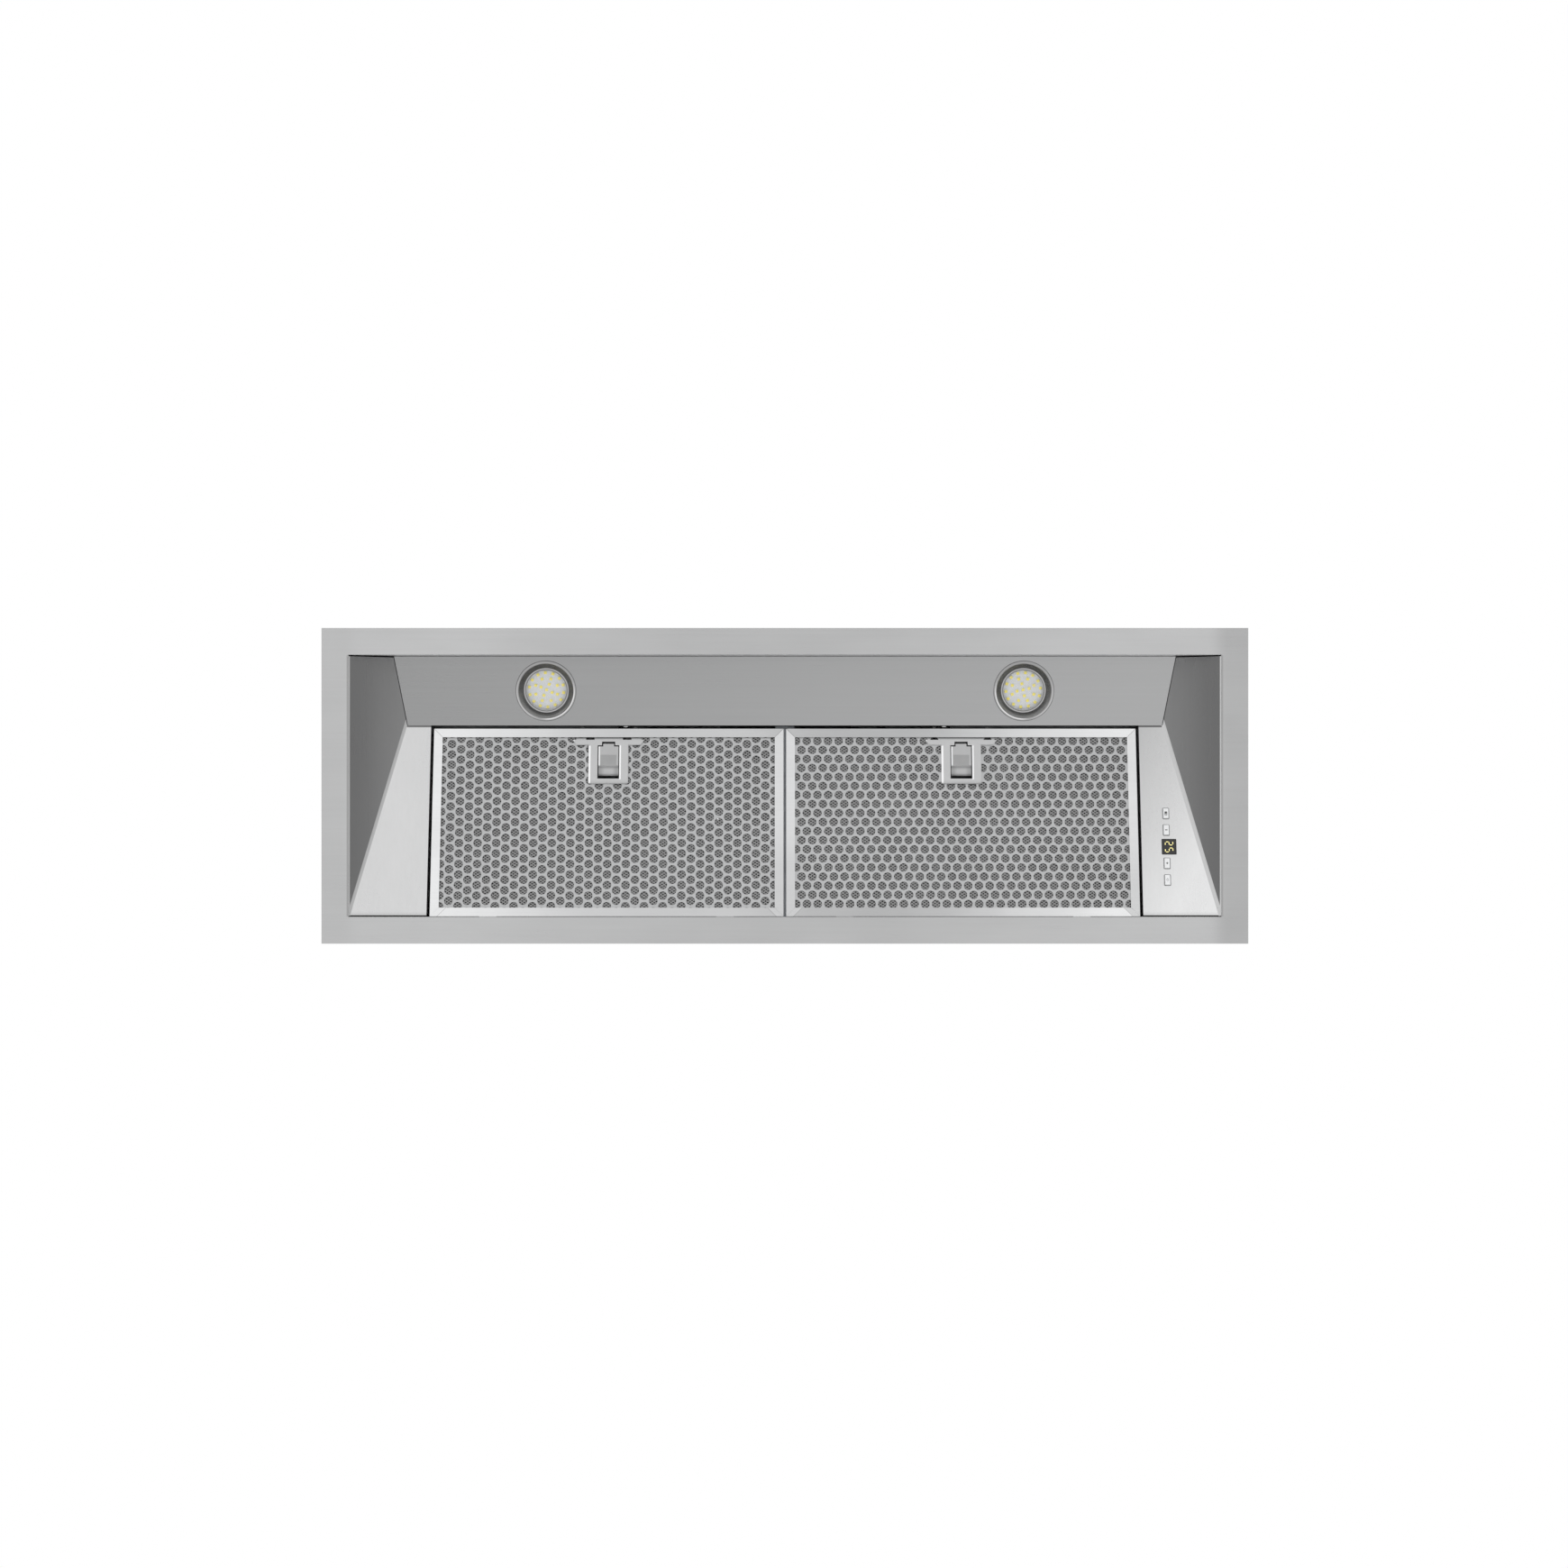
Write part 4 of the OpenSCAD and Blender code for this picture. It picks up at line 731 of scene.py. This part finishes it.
FINISHES = {
    "flange": flange_steel(),
    "panel": brushed("Panel_steel", 0.39, 0, cloud=0.08, cloud_size=0.12, painted_light=panel_sheen),
    "liner_left": brushed("Left_liner_steel", 0.69, 1, cloud=0.10, cloud_size=0.05, painted_light=left_sheen),
    "liner_right": brushed("Right_liner_steel", 0.69, 1, cloud=0.10, cloud_size=0.05,
                           painted_light=right_sheen),
    "lamp_bezel": lamp_bezel_steel(),
    "zinc": zinc_sheet(),
    # Painted shade: darker zinc for the parts inside the hood
    "zinc_dark": zinc_sheet("Zinc_inside", 0.30),
    "rails": filter_alloy("Rail_alloy", 0.72, 0, painted_light=rail_sheen),
    "face": filter_alloy("Face_alloy", 0.51, 0, 0.42, face_sheen),
    # Painted shade: the deeper a mesh sheet lies, the darker its tone
    "mesh_front": mesh_alloy("Mesh_front_alloy", 0.33, 0),
    "mesh_middle": mesh_alloy("Mesh_middle_alloy", 0.09, 1),
    "mesh_back": mesh_alloy("Mesh_back_alloy", 0.04, 2),
    "grid": zinc_sheet("Grid_zinc", 0.58, grid_sheen),
    "tray": zinc_sheet("Tray_zinc", 0.58, tray_inside_shade),
    "steel": cast_metal("Turned_steel", 0.62, 0.28),
    "cast": cast_metal("Cast_alloy", 0.55, 0.5),
    "black": moulded("Black_plastic", (0.022, 0.022, 0.024)),
    "rubber": moulded("Black_rubber", (0.016, 0.016, 0.016), 0.75, 1500.0),
    "white": moulded("White_plastic", (0.74, 0.74, 0.72), 0.42),
    "button": button_cap(),
    "glass": clear_glass(),
    "board": board_white(),
    "chips": chip_yellow(),
    "window": display_black(),
    "digits": digit_glow(),
    "circuit": board_green(),
    "icon_dark": icon_print("Icon_dark", 0.05),
    "icon_pale": icon_print("Icon_pale", 0.14),
}


# CAD nodes of each finish; the latches have finishes of their own
CAD_FINISHES = {
    "flange": "flange_frame",
    "panel": "light_panel",
    "liner_left": "side_liner_left",
    "liner_right": "side_liner_right",
    "tray": "tray_shell",
    "zinc": "motor_housing housing_front housing_back outlet_collar mount_brackets",
    "zinc_dark": "channel_wall centre_rail scroll_wrap scroll_side_left scroll_side_right "
                 "motor_bracket",
    "grid": "filter_grid_left filter_grid_right",
    "rails": "filter_frame_left filter_frame_right",
    "face": "filter_face_left filter_face_right",
    "mesh_back": "filter_mesh_left filter_mesh_right",
    "steel": "sheet_screws motor_shaft motor_bearings damper_rod lamp_springs "
             "latch_springs_left latch_springs_right",
    "cast": "motor_body lamp_heat_sinks capacitor",
    "black": "impeller_left impeller_right impeller_disc damper_front damper_back "
             "terminal_cover control_carrier cable_gland display_module",
    "rubber": "motor_bushes lamp_cables",
    "white": "terminal_box led_driver",
    "lamp_bezel": "lamp_bezels",
    "glass": "lamp_lenses",
    "board": "lamp_boards",
    "circuit": "control_board",
    "window": "display_window",
    "button": "button_light button_minus button_plus button_power",
}


def dress_cad():
    """Give every CAD node its finish."""
    for finish, names in CAD_FINISHES.items():
        dress(names, FINISHES[finish])
    for side in SIDES:
        dress(f"latch_bezel_{side}", latch_bezel_steel(side))
        dress(f"latch_tab_{side}", latch_tab_alloy(side))


def finish_piece(piece, name, finish, body, plane=None, smooth=None):
    """Put a modelled piece into place, name it, and let it ride on its body."""
    if plane:
        piece.data.transform(plane.matrix)
    piece.name = name
    piece.data.name = name
    piece.data.materials.clear()
    piece.data.materials.append(finish.material)
    if smooth is not None:
        only(piece)
        bpy.ops.object.shade_smooth_by_angle(angle=math.radians(smooth))
        piece.select_set(False)
    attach(piece, body)
    return piece


def only(piece):
    """Make a piece the one selected and active object."""
    bpy.ops.object.select_all(action="DESELECT")
    piece.select_set(True)
    bpy.context.view_layer.objects.active = piece


def apply_place():
    """Write the active object's place into its mesh."""
    bpy.ops.object.transform_apply(location=True, rotation=True, scale=True)
    return bpy.context.object


def block(lo, hi):
    """A box between two corners, with its place in its mesh."""
    centre = (Vector(lo) + Vector(hi)) / 2
    size = Vector(hi) - Vector(lo)
    bpy.ops.mesh.primitive_cube_add(size=1.0, location=centre)
    bpy.context.object.scale = size
    return apply_place()


def rod(first, second, radius, sides):
    """A closed rod between two points, with its place in its mesh."""
    first = Vector(first)
    second = Vector(second)
    way = second - first
    bpy.ops.mesh.primitive_cylinder_add(
        vertices=sides, radius=radius, depth=way.length, location=(first + second) / 2,
        rotation=way.to_track_quat("Z", "Y").to_euler())
    return apply_place()


def join(pieces):
    """Join pieces into the first one."""
    bpy.ops.object.select_all(action="DESELECT")
    for piece in pieces:
        piece.select_set(True)
    bpy.context.view_layer.objects.active = pieces[0]
    if len(pieces) > 1:
        bpy.ops.object.join()
    return pieces[0]


def repeat(piece, count, step):
    """Array a piece and apply it."""
    only(piece)
    array = piece.modifiers.new("Array", "ARRAY")
    array.count = count
    array.use_relative_offset = False
    array.use_constant_offset = True
    array.constant_offset_displace = step
    bpy.ops.object.modifier_apply(modifier=array.name)
    return piece


def soften(piece, width, segments=2, angle=30.0):
    """Round a piece's edges with an applied bevel."""
    only(piece)
    bevel = piece.modifiers.new("Bevel", "BEVEL")
    bevel.width = width
    bevel.segments = segments
    bevel.limit_method = "ANGLE"
    bevel.angle_limit = math.radians(angle)
    bpy.ops.object.modifier_apply(modifier=bevel.name)
    return piece


def mesh_layer(lo, hi, layer):
    """One sheet of expanded metal: a diamond of strands, repeated both ways and crimped."""
    share, long_way, short_way, radius, wave, start = layer
    across = long_way * MM
    down = short_way * MM
    z = lo.z + (hi.z - lo.z) * share
    margin = 3 * MM
    columns = int((hi.x - lo.x - margin) / across)
    rows = int((hi.y - lo.y - margin) / down)
    x0 = (lo.x + hi.x - columns * across) / 2
    y0 = (lo.y + hi.y - rows * down) / 2
    tips = [(x0, y0 + down / 2, z), (x0 + across / 2, y0 + down, z),
            (x0 + across, y0 + down / 2, z), (x0 + across / 2, y0, z)]
    strands = []
    for k in range(4):
        strands.append(rod(tips[k], tips[(k + 1) % 4], radius * MM, 3))
    layer_piece = join(strands)
    repeat(layer_piece, columns, (across, 0, 0))
    repeat(layer_piece, rows, (0, down, 0))
    # Slow waves shift the strands sideways, and a fine one lifts and lowers them
    points = points_of(layer_piece.data)
    x = points[:, 0].copy()
    y = points[:, 1].copy()
    points[:, 0] += wave * MM * np.sin(y * 170 + start) * 0.8
    points[:, 1] += wave * MM * np.sin(x * 110 + start * 2) * 0.8
    points[:, 2] += 0.25 * MM * np.sin(x * 400 + start) * np.sin(y * 330)
    layer_piece.data.vertices.foreach_set("co", points.ravel())
    return layer_piece


def clear_room(piece, plane, side):
    """Delete the strands that would run through the latch."""
    lo, hi = plane.box(f"latch_bezel_{side}")
    slider_lo, slider_hi = plane.box(f"latch_tab_{side}")
    only(piece)
    bpy.ops.object.mode_set(mode="EDIT")
    bpy.ops.mesh.select_mode(type="VERT")
    bpy.ops.mesh.select_all(action="DESELECT")
    bpy.ops.object.mode_set(mode="OBJECT")
    points = points_of(piece.data)
    middle = (lo.x + hi.x) / 2
    off = np.abs(points[:, 0] - middle)
    box_half = 14.5 * MM
    bar_half = slider_hi.x - middle + 3 * MM
    in_box = (off < box_half) & (points[:, 1] < slider_hi.y + 5 * MM)
    in_bar = (off < bar_half) & (points[:, 1] < slider_lo.y + 14 * MM)
    piece.data.vertices.foreach_set("select", in_box | in_bar)
    bpy.ops.object.mode_set(mode="EDIT")
    bpy.ops.mesh.select_linked()
    bpy.ops.mesh.delete(type="VERT")
    bpy.ops.object.mode_set(mode="OBJECT")


def make_mesh_packs(plane):
    """Three sheets of expanded metal in each filter."""
    for side in SIDES:
        lo, hi = plane.box(f"filter_mesh_{side}")
        for number, layer in enumerate(MESH_LAYERS):
            piece = mesh_layer(lo, hi, layer)
            clear_room(piece, plane, side)
            finish = FINISHES[LAYER_FINISHES[number]]
            name = f"mesh_sheet_{side}_{number + 1}"
            finish_piece(piece, name, finish, f"filter_{side}", plane)
            if number == 0:
                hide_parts(f"filter_mesh_{side}")


# How far a print or a lit segment stands out of its face
PROUD = 0.04 * MM
# The display's plain number, and the lit segments of its digits: top, middle, bottom, then sides
SEGMENTS = {
    "2": "top middle bottom right_high left_low",
    "5": "top middle bottom left_high right_low",
}


def make_digits(plane):
    """The display's two digits, read from the right hand side of the hood."""
    lo, hi = plane.box("display_window")
    mid = (lo + hi) / 2
    tall = (hi.x - lo.x) * 0.53
    wide = (hi.y - lo.y) * 0.23
    thick = tall * 0.105
    bars = []
    places = {
        "top": (tall / 2, 0, 0), "middle": (0, 0, 0), "bottom": (-tall / 2, 0, 0),
        "left_high": (tall / 4, -wide / 2, 1), "left_low": (-tall / 4, -wide / 2, 1),
        "right_high": (tall / 4, wide / 2, 1), "right_low": (-tall / 4, wide / 2, 1),
    }
    for index, lit in enumerate(SEGMENTS.values()):
        centre_y = mid.y + (index - 0.5) * (hi.y - lo.y) * 0.43
        for segment in lit.split():
            up, side, upright = places[segment]
            half_x = tall / 4 - thick * 0.68 if upright else thick / 2
            half_y = thick / 2 if upright else wide / 2 - thick * 0.68
            lean = up * 0.10
            x = mid.x + up
            y = centre_y + side - lean
            low = (x - half_x, y - half_y, lo.z - PROUD)
            high = (x + half_x, y + half_y, lo.z + 0.2 * MM)
            bar = block(low, high)
            bars.append(soften(bar, thick * 0.25, 1))
    piece = join(bars)
    finish_piece(piece, "display_digits", FINISHES["digits"], "hood", plane)


def ring(centre, outer, inner, height, sides=28):
    """A thin ring: a torus pressed to a height."""
    bpy.ops.mesh.primitive_torus_add(
        major_radius=(outer + inner) / 2, minor_radius=(outer - inner) / 2,
        major_segments=sides, minor_segments=6, location=centre)
    bpy.context.object.scale = (1, 1, height / (outer - inner))
    return apply_place()


# Bars of each button's mark, in mm: width and height, then place from the button's middle
MARK_BARS = {
    "light": ((1.5, 2.0, 0, -0.7), (0.9, 0.5, 0, 0.8), (1.9, 0.4, 0, 1.6),
              (0.4, 3.6, -1.0, 0.2), (0.4, 3.6, 1.0, 0.2)),
    "minus": ((2.3, 0.9, 0, 0),),
    "plus": ((2.1, 0.7, 0, 0), (0.7, 0.8, 0, 0.7), (0.7, 0.8, 0, -0.7)),
    "power": ((0.35, 1.1, 0, -1.0),),
}


def make_icons(plane):
    """Generic marks on the four buttons: a lamp, minus, plus and the mains ring."""
    for name, bars in MARK_BARS.items():
        lo, hi = plane.box(f"button_{name}")
        x = (lo.x + hi.x) / 2
        y = (lo.y + hi.y) / 2
        low = lo.z - PROUD
        high = lo.z + 0.12 * MM
        marks = []
        if name == "power":
            marks.append(ring((x, y, (low + high) / 2), 1.15 * MM, 0.8 * MM, high - low))
        for width, height, right, back in bars:
            first = (x + (right - width / 2) * MM, y + (back - height / 2) * MM, low)
            second = (x + (right + width / 2) * MM, y + (back + height / 2) * MM, high)
            marks.append(block(first, second))
        piece = join(marks)
        soften(piece, 0.03 * MM, 1)
        finish = FINISHES["icon_dark" if name == "light" else "icon_pale"]
        finish_piece(piece, f"icon_{name}", finish, f"button_{name}", plane)


# Rings of chips on a lamp board: how many, and the ring's radius as a share of the board's
CHIP_RINGS = ((1, 0.0), (4, 0.29), (8, 0.55), (14, 0.815))
# Turn of each ring's first chip in degrees, on the left and the right lamp
CHIP_TURNS = {"left": (0.0, 26.0, 22.5, 86.5), "right": (0.0, -12.4, 22.5, 97.3)}


def chip_places(side):
    """Places of the chips on one lamp board, and the turn of each."""
    lo, hi = LAMP_PLANE.box("lamp_lenses")
    radius = (hi.y - lo.y) / 2
    middle = (hi.x - radius) * (1 if side == "right" else -1)
    for (count, share), start in zip(CHIP_RINGS, CHIP_TURNS[side]):
        for k in range(count):
            turn = math.radians(start + k * 360 / count)
            x = middle + math.cos(turn) * share * radius
            y = (lo.y + hi.y) / 2 + math.sin(turn) * share * radius
            yield x, y, turn


def copy_mesh(piece, place):
    """A copy of a modelled piece, moved by a matrix."""
    copy = bpy.data.objects.new(piece.name, piece.data.copy())
    bpy.context.scene.collection.objects.link(copy)
    copy.data.transform(place)
    return copy


def sink_face(piece, towards, thickness, depth):
    """Inset the face that looks in a direction and push it in by a depth."""
    only(piece)
    bpy.ops.object.mode_set(mode="EDIT")
    bpy.ops.mesh.select_mode(type="FACE")
    bpy.ops.mesh.select_all(action="DESELECT")
    bpy.ops.object.mode_set(mode="OBJECT")
    towards = Vector(towards)
    for face in piece.data.polygons:
        face.select = face.normal.dot(towards) > 0.99
    bpy.ops.object.mode_set(mode="EDIT")
    bpy.ops.mesh.inset(thickness=thickness, depth=0.0)
    bpy.ops.transform.translate(value=-towards * depth)
    bpy.ops.object.mode_set(mode="OBJECT")


def make_lamp_boards():
    """Two round lamp boards with a raised edge, and their light chips in white frames."""
    hi = LAMP_PLANE.box("lamp_boards")[1]
    lens_lo, lens_hi = LAMP_PLANE.box("lamp_lenses")
    radius = (lens_hi.y - lens_lo.y) / 2
    thick = 1.2 * MM
    sunk = 0.15 * MM
    face = hi.z - thick
    boards = []
    frames = []
    lights = []
    half = 1.5 * MM
    light_half = 1.36 * MM
    chip_frame = block((-half, -half, -0.75 * MM), (half, half, 0.02 * MM))
    sink_face(chip_frame, (0, 0, -1), 0.12 * MM, 0.1 * MM)
    soften(chip_frame, 0.08 * MM, 1)
    chip_light = block((-light_half, -light_half, -0.74 * MM), (light_half, light_half, -0.3 * MM))
    soften(chip_light, 0.1 * MM, 2)
    for side, sign in zip(SIDES, (-1, 1)):
        centre = (sign * (lens_hi.x - radius), (lens_lo.y + lens_hi.y) / 2, hi.z - thick / 2)
        bpy.ops.mesh.primitive_cylinder_add(vertices=64, radius=radius, depth=thick, location=centre)
        board = apply_place()
        sink_face(board, (0, 0, -1), 0.9 * MM, sunk)
        boards.append(soften(board, 0.12 * MM, 2))
        for x, y, turn in chip_places(side):
            place = Matrix.Translation((x, y, face + sunk)) @ Matrix.Rotation(turn, 4, "Z")
            frames.append(copy_mesh(chip_frame, place))
            lights.append(copy_mesh(chip_light, place))
    bpy.data.objects.remove(chip_frame)
    bpy.data.objects.remove(chip_light)
    piece = finish_piece(join(boards), "lamp_board_discs", FINISHES["board"], "hood",
                         LAMP_PLANE, 30)
    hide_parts("lamp_boards")
    finish_piece(join(frames), "lamp_chip_frames", FINISHES["board"], "hood",
                 LAMP_PLANE)
    finish_piece(join(lights), "lamp_chip_lights", FINISHES["chips"], "hood",
                 LAMP_PLANE)


def loose_islands(node):
    """Lowest and highest corner of each separate solid of a CAD node."""
    mesh = nodes[node].data.copy()
    copy = bpy.data.objects.new("islands", mesh)
    bpy.context.scene.collection.objects.link(copy)
    only(copy)
    bpy.ops.object.mode_set(mode="EDIT")
    bpy.ops.mesh.select_all(action="SELECT")
    bpy.ops.mesh.remove_doubles(threshold=0.00001)
    bpy.ops.mesh.separate(type="LOOSE")
    bpy.ops.object.mode_set(mode="OBJECT")
    found = []
    for piece in list(bpy.context.selected_objects):
        points = points_of(piece.data)
        found.append((Vector(points.min(0)), Vector(points.max(0))))
        bpy.data.objects.remove(piece)
    return found


def make_screws():
    """Pan head screws with a cross recess, in the places of the plain ones."""
    tall = 1.9 * MM
    bpy.ops.mesh.primitive_cylinder_add(vertices=24, radius=3.35 * MM, depth=tall,
                                        location=(0, 0, tall / 2))
    head = apply_place()
    soften(head, 0.7 * MM, 4, 60.0)
    for turn in (0, 90):
        bpy.ops.mesh.primitive_cube_add(size=1.0, location=(0, 0, tall),
                                        rotation=(0, 0, math.radians(turn)))
        bpy.context.object.scale = (3.6 * MM, 0.7 * MM, 1.6 * MM)
        cutter = apply_place()
        only(head)
        slot = head.modifiers.new("Slot", "BOOLEAN")
        slot.operation = "DIFFERENCE"
        slot.object = cutter
        bpy.ops.object.modifier_apply(modifier=slot.name)
        bpy.data.objects.remove(cutter)
    shank = rod((0, 0, -6.9 * MM), (0, 0, 0.5 * MM), 1.85 * MM, 20)
    soften(shank, 0.4 * MM, 1)
    screw = join([head, shank])
    seat = 2.0 * MM
    copies = []
    for lo, hi in loose_islands("sheet_screws"):
        middle = (lo + hi) / 2
        size = hi - lo
        if size.z > size.x:
            place = Matrix.Translation((middle.x, middle.y, hi.z - seat))
        else:
            place = Matrix.Translation((middle.x, hi.y - seat, middle.z))
            place = place @ Matrix.Rotation(math.radians(-90), 4, "X")
        copies.append(copy_mesh(screw, place))
    bpy.data.objects.remove(screw)
    piece = finish_piece(join(copies), "cross_screws", FINISHES["steel"], "hood",
                         None, 30)
    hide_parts("sheet_screws")


def close_ends(piece):
    """Fill a tube's open ends and turn its faces outward."""
    only(piece)
    bpy.ops.object.mode_set(mode="EDIT")
    bpy.ops.mesh.select_mode(type="VERT")
    bpy.ops.mesh.select_all(action="DESELECT")
    bpy.ops.mesh.select_non_manifold()
    bpy.ops.mesh.edge_face_add()
    bpy.ops.mesh.select_all(action="SELECT")
    bpy.ops.mesh.normals_make_consistent(inside=False)
    bpy.ops.object.mode_set(mode="OBJECT")


def make_springs():
    """Two wound springs behind each latch, in the places of the plain sleeves."""
    wire = 0.27 * MM
    turns = 5
    for side in SIDES:
        coils = []
        lo, hi = SLOPE.box(f"latch_springs_{side}")
        radius = (hi.z - lo.z) / 2 - wire
        length = hi.y - lo.y - 2 * wire
        for x in (lo.x + wire + radius, hi.x - wire - radius):
            bpy.ops.mesh.primitive_circle_add(vertices=8, radius=wire, fill_type="NOTHING",
                                              location=(radius, 0, 0),
                                              rotation=(math.radians(90), 0, 0))
            coil = apply_place()
            only(coil)
            wind = coil.modifiers.new("Wind", "SCREW")
            wind.angle = math.radians(360 * turns)
            wind.screw_offset = length
            wind.steps = 18 * turns
            wind.render_steps = 18 * turns
            wind.axis = "Z"
            wind.use_smooth_shade = True
            bpy.ops.object.modifier_apply(modifier=wind.name)
            close_ends(coil)
            coil.data.transform(Matrix.Translation((x, lo.y + wire, (lo.z + hi.z) / 2))
                                @ Matrix.Rotation(math.radians(-90), 4, "X"))
            coils.append(coil)
        piece = finish_piece(join(coils), f"wound_springs_{side}", FINISHES["steel"],
                             f"filter_{side}", SLOPE)
        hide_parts(f"latch_springs_{side}")


def set_camera():
    """The photograph's camera: straight below the hood, 3 m away, with the front at the top."""
    data = bpy.data.cameras.new("Photo_camera")
    distance = 3.0
    data.sensor_width = 36.0
    data.lens = data.sensor_width * distance / (PHOTO_WIDTH * PIXEL)
    data.clip_end = 60.0
    camera = bpy.data.objects.new("Photo_camera", data)
    bpy.context.scene.collection.objects.link(camera)
    camera.location = (-0.8 * MM, -1.7 * MM, -distance)
    camera.rotation_euler = (math.pi, 0.0, 0.0)
    bpy.context.scene.camera = camera


def seen_rays(sheet):
    """1 for rays that show the background: the camera's, and those off metal and through glass."""
    path = sheet.tree.nodes.new("ShaderNodeLightPath")
    camera = Value(sheet, path.outputs["Is Camera Ray"])
    glossy = Value(sheet, path.outputs["Is Glossy Ray"])
    through = Value(sheet, path.outputs["Is Transmission Ray"])
    return camera.most(glossy).most(through)


def set_studio():
    """A pale floor far below, and soft white light that is a little weaker from below."""
    bpy.ops.mesh.primitive_plane_add(size=60.0, location=(0, 0, -4.0))
    floor = bpy.context.object
    floor.name = "Studio_floor"
    paper = Sheet(new_material("Floor_paper", floor))
    speck = paper.node("ShaderNodeTexNoise", {}, {"Scale": 3.0, "Detail": 2.0}, "Fac")
    pale = 0.9 + speck * 0.02
    tone = paper.node("ShaderNodeCombineColor", {}, {0: pale, 1: pale, 2: pale})
    matt = paper.node("ShaderNodeBsdfDiffuse", {}, {"Color": tone})
    clear = paper.node("ShaderNodeBsdfTransparent")
    mixed = paper.node("ShaderNodeMixShader", {}, {0: seen_rays(paper), 1: clear, 2: matt})
    paper.node("ShaderNodeOutputMaterial", {}, {"Surface": mixed})
    world = bpy.data.worlds.new("Studio")
    bpy.context.scene.world = world
    world.use_nodes = True
    sky = Sheet(world.node_tree)
    z = sky.parts(sky.node("ShaderNodeTexCoord", output="Generated"))[2]
    level = 0.88 + z.ramp(-0.3, 0.3) * 0.12
    white = seen_rays(sky)
    strength = level * (1.0 - white) + white
    light = sky.node("ShaderNodeBackground", {}, {"Color": (1, 1, 1, 1), "Strength": strength})
    sky.node("ShaderNodeOutputWorld", {}, {"Surface": light})


def new_material(name, piece):
    """A new material on a piece; its node tree is returned."""
    material = bpy.data.materials.new(name)
    material.use_nodes = True
    piece.data.materials.append(material)
    return material.node_tree


def set_view():
    """The plain display of colours."""
    bpy.context.scene.view_settings.view_transform = "Standard"


set_camera()
set_studio()
set_view()
dress_cad()
make_mesh_packs(SLOPE)
make_lamp_boards()
make_digits(SLOPE)
make_icons(SLOPE)
make_screws()
make_springs()
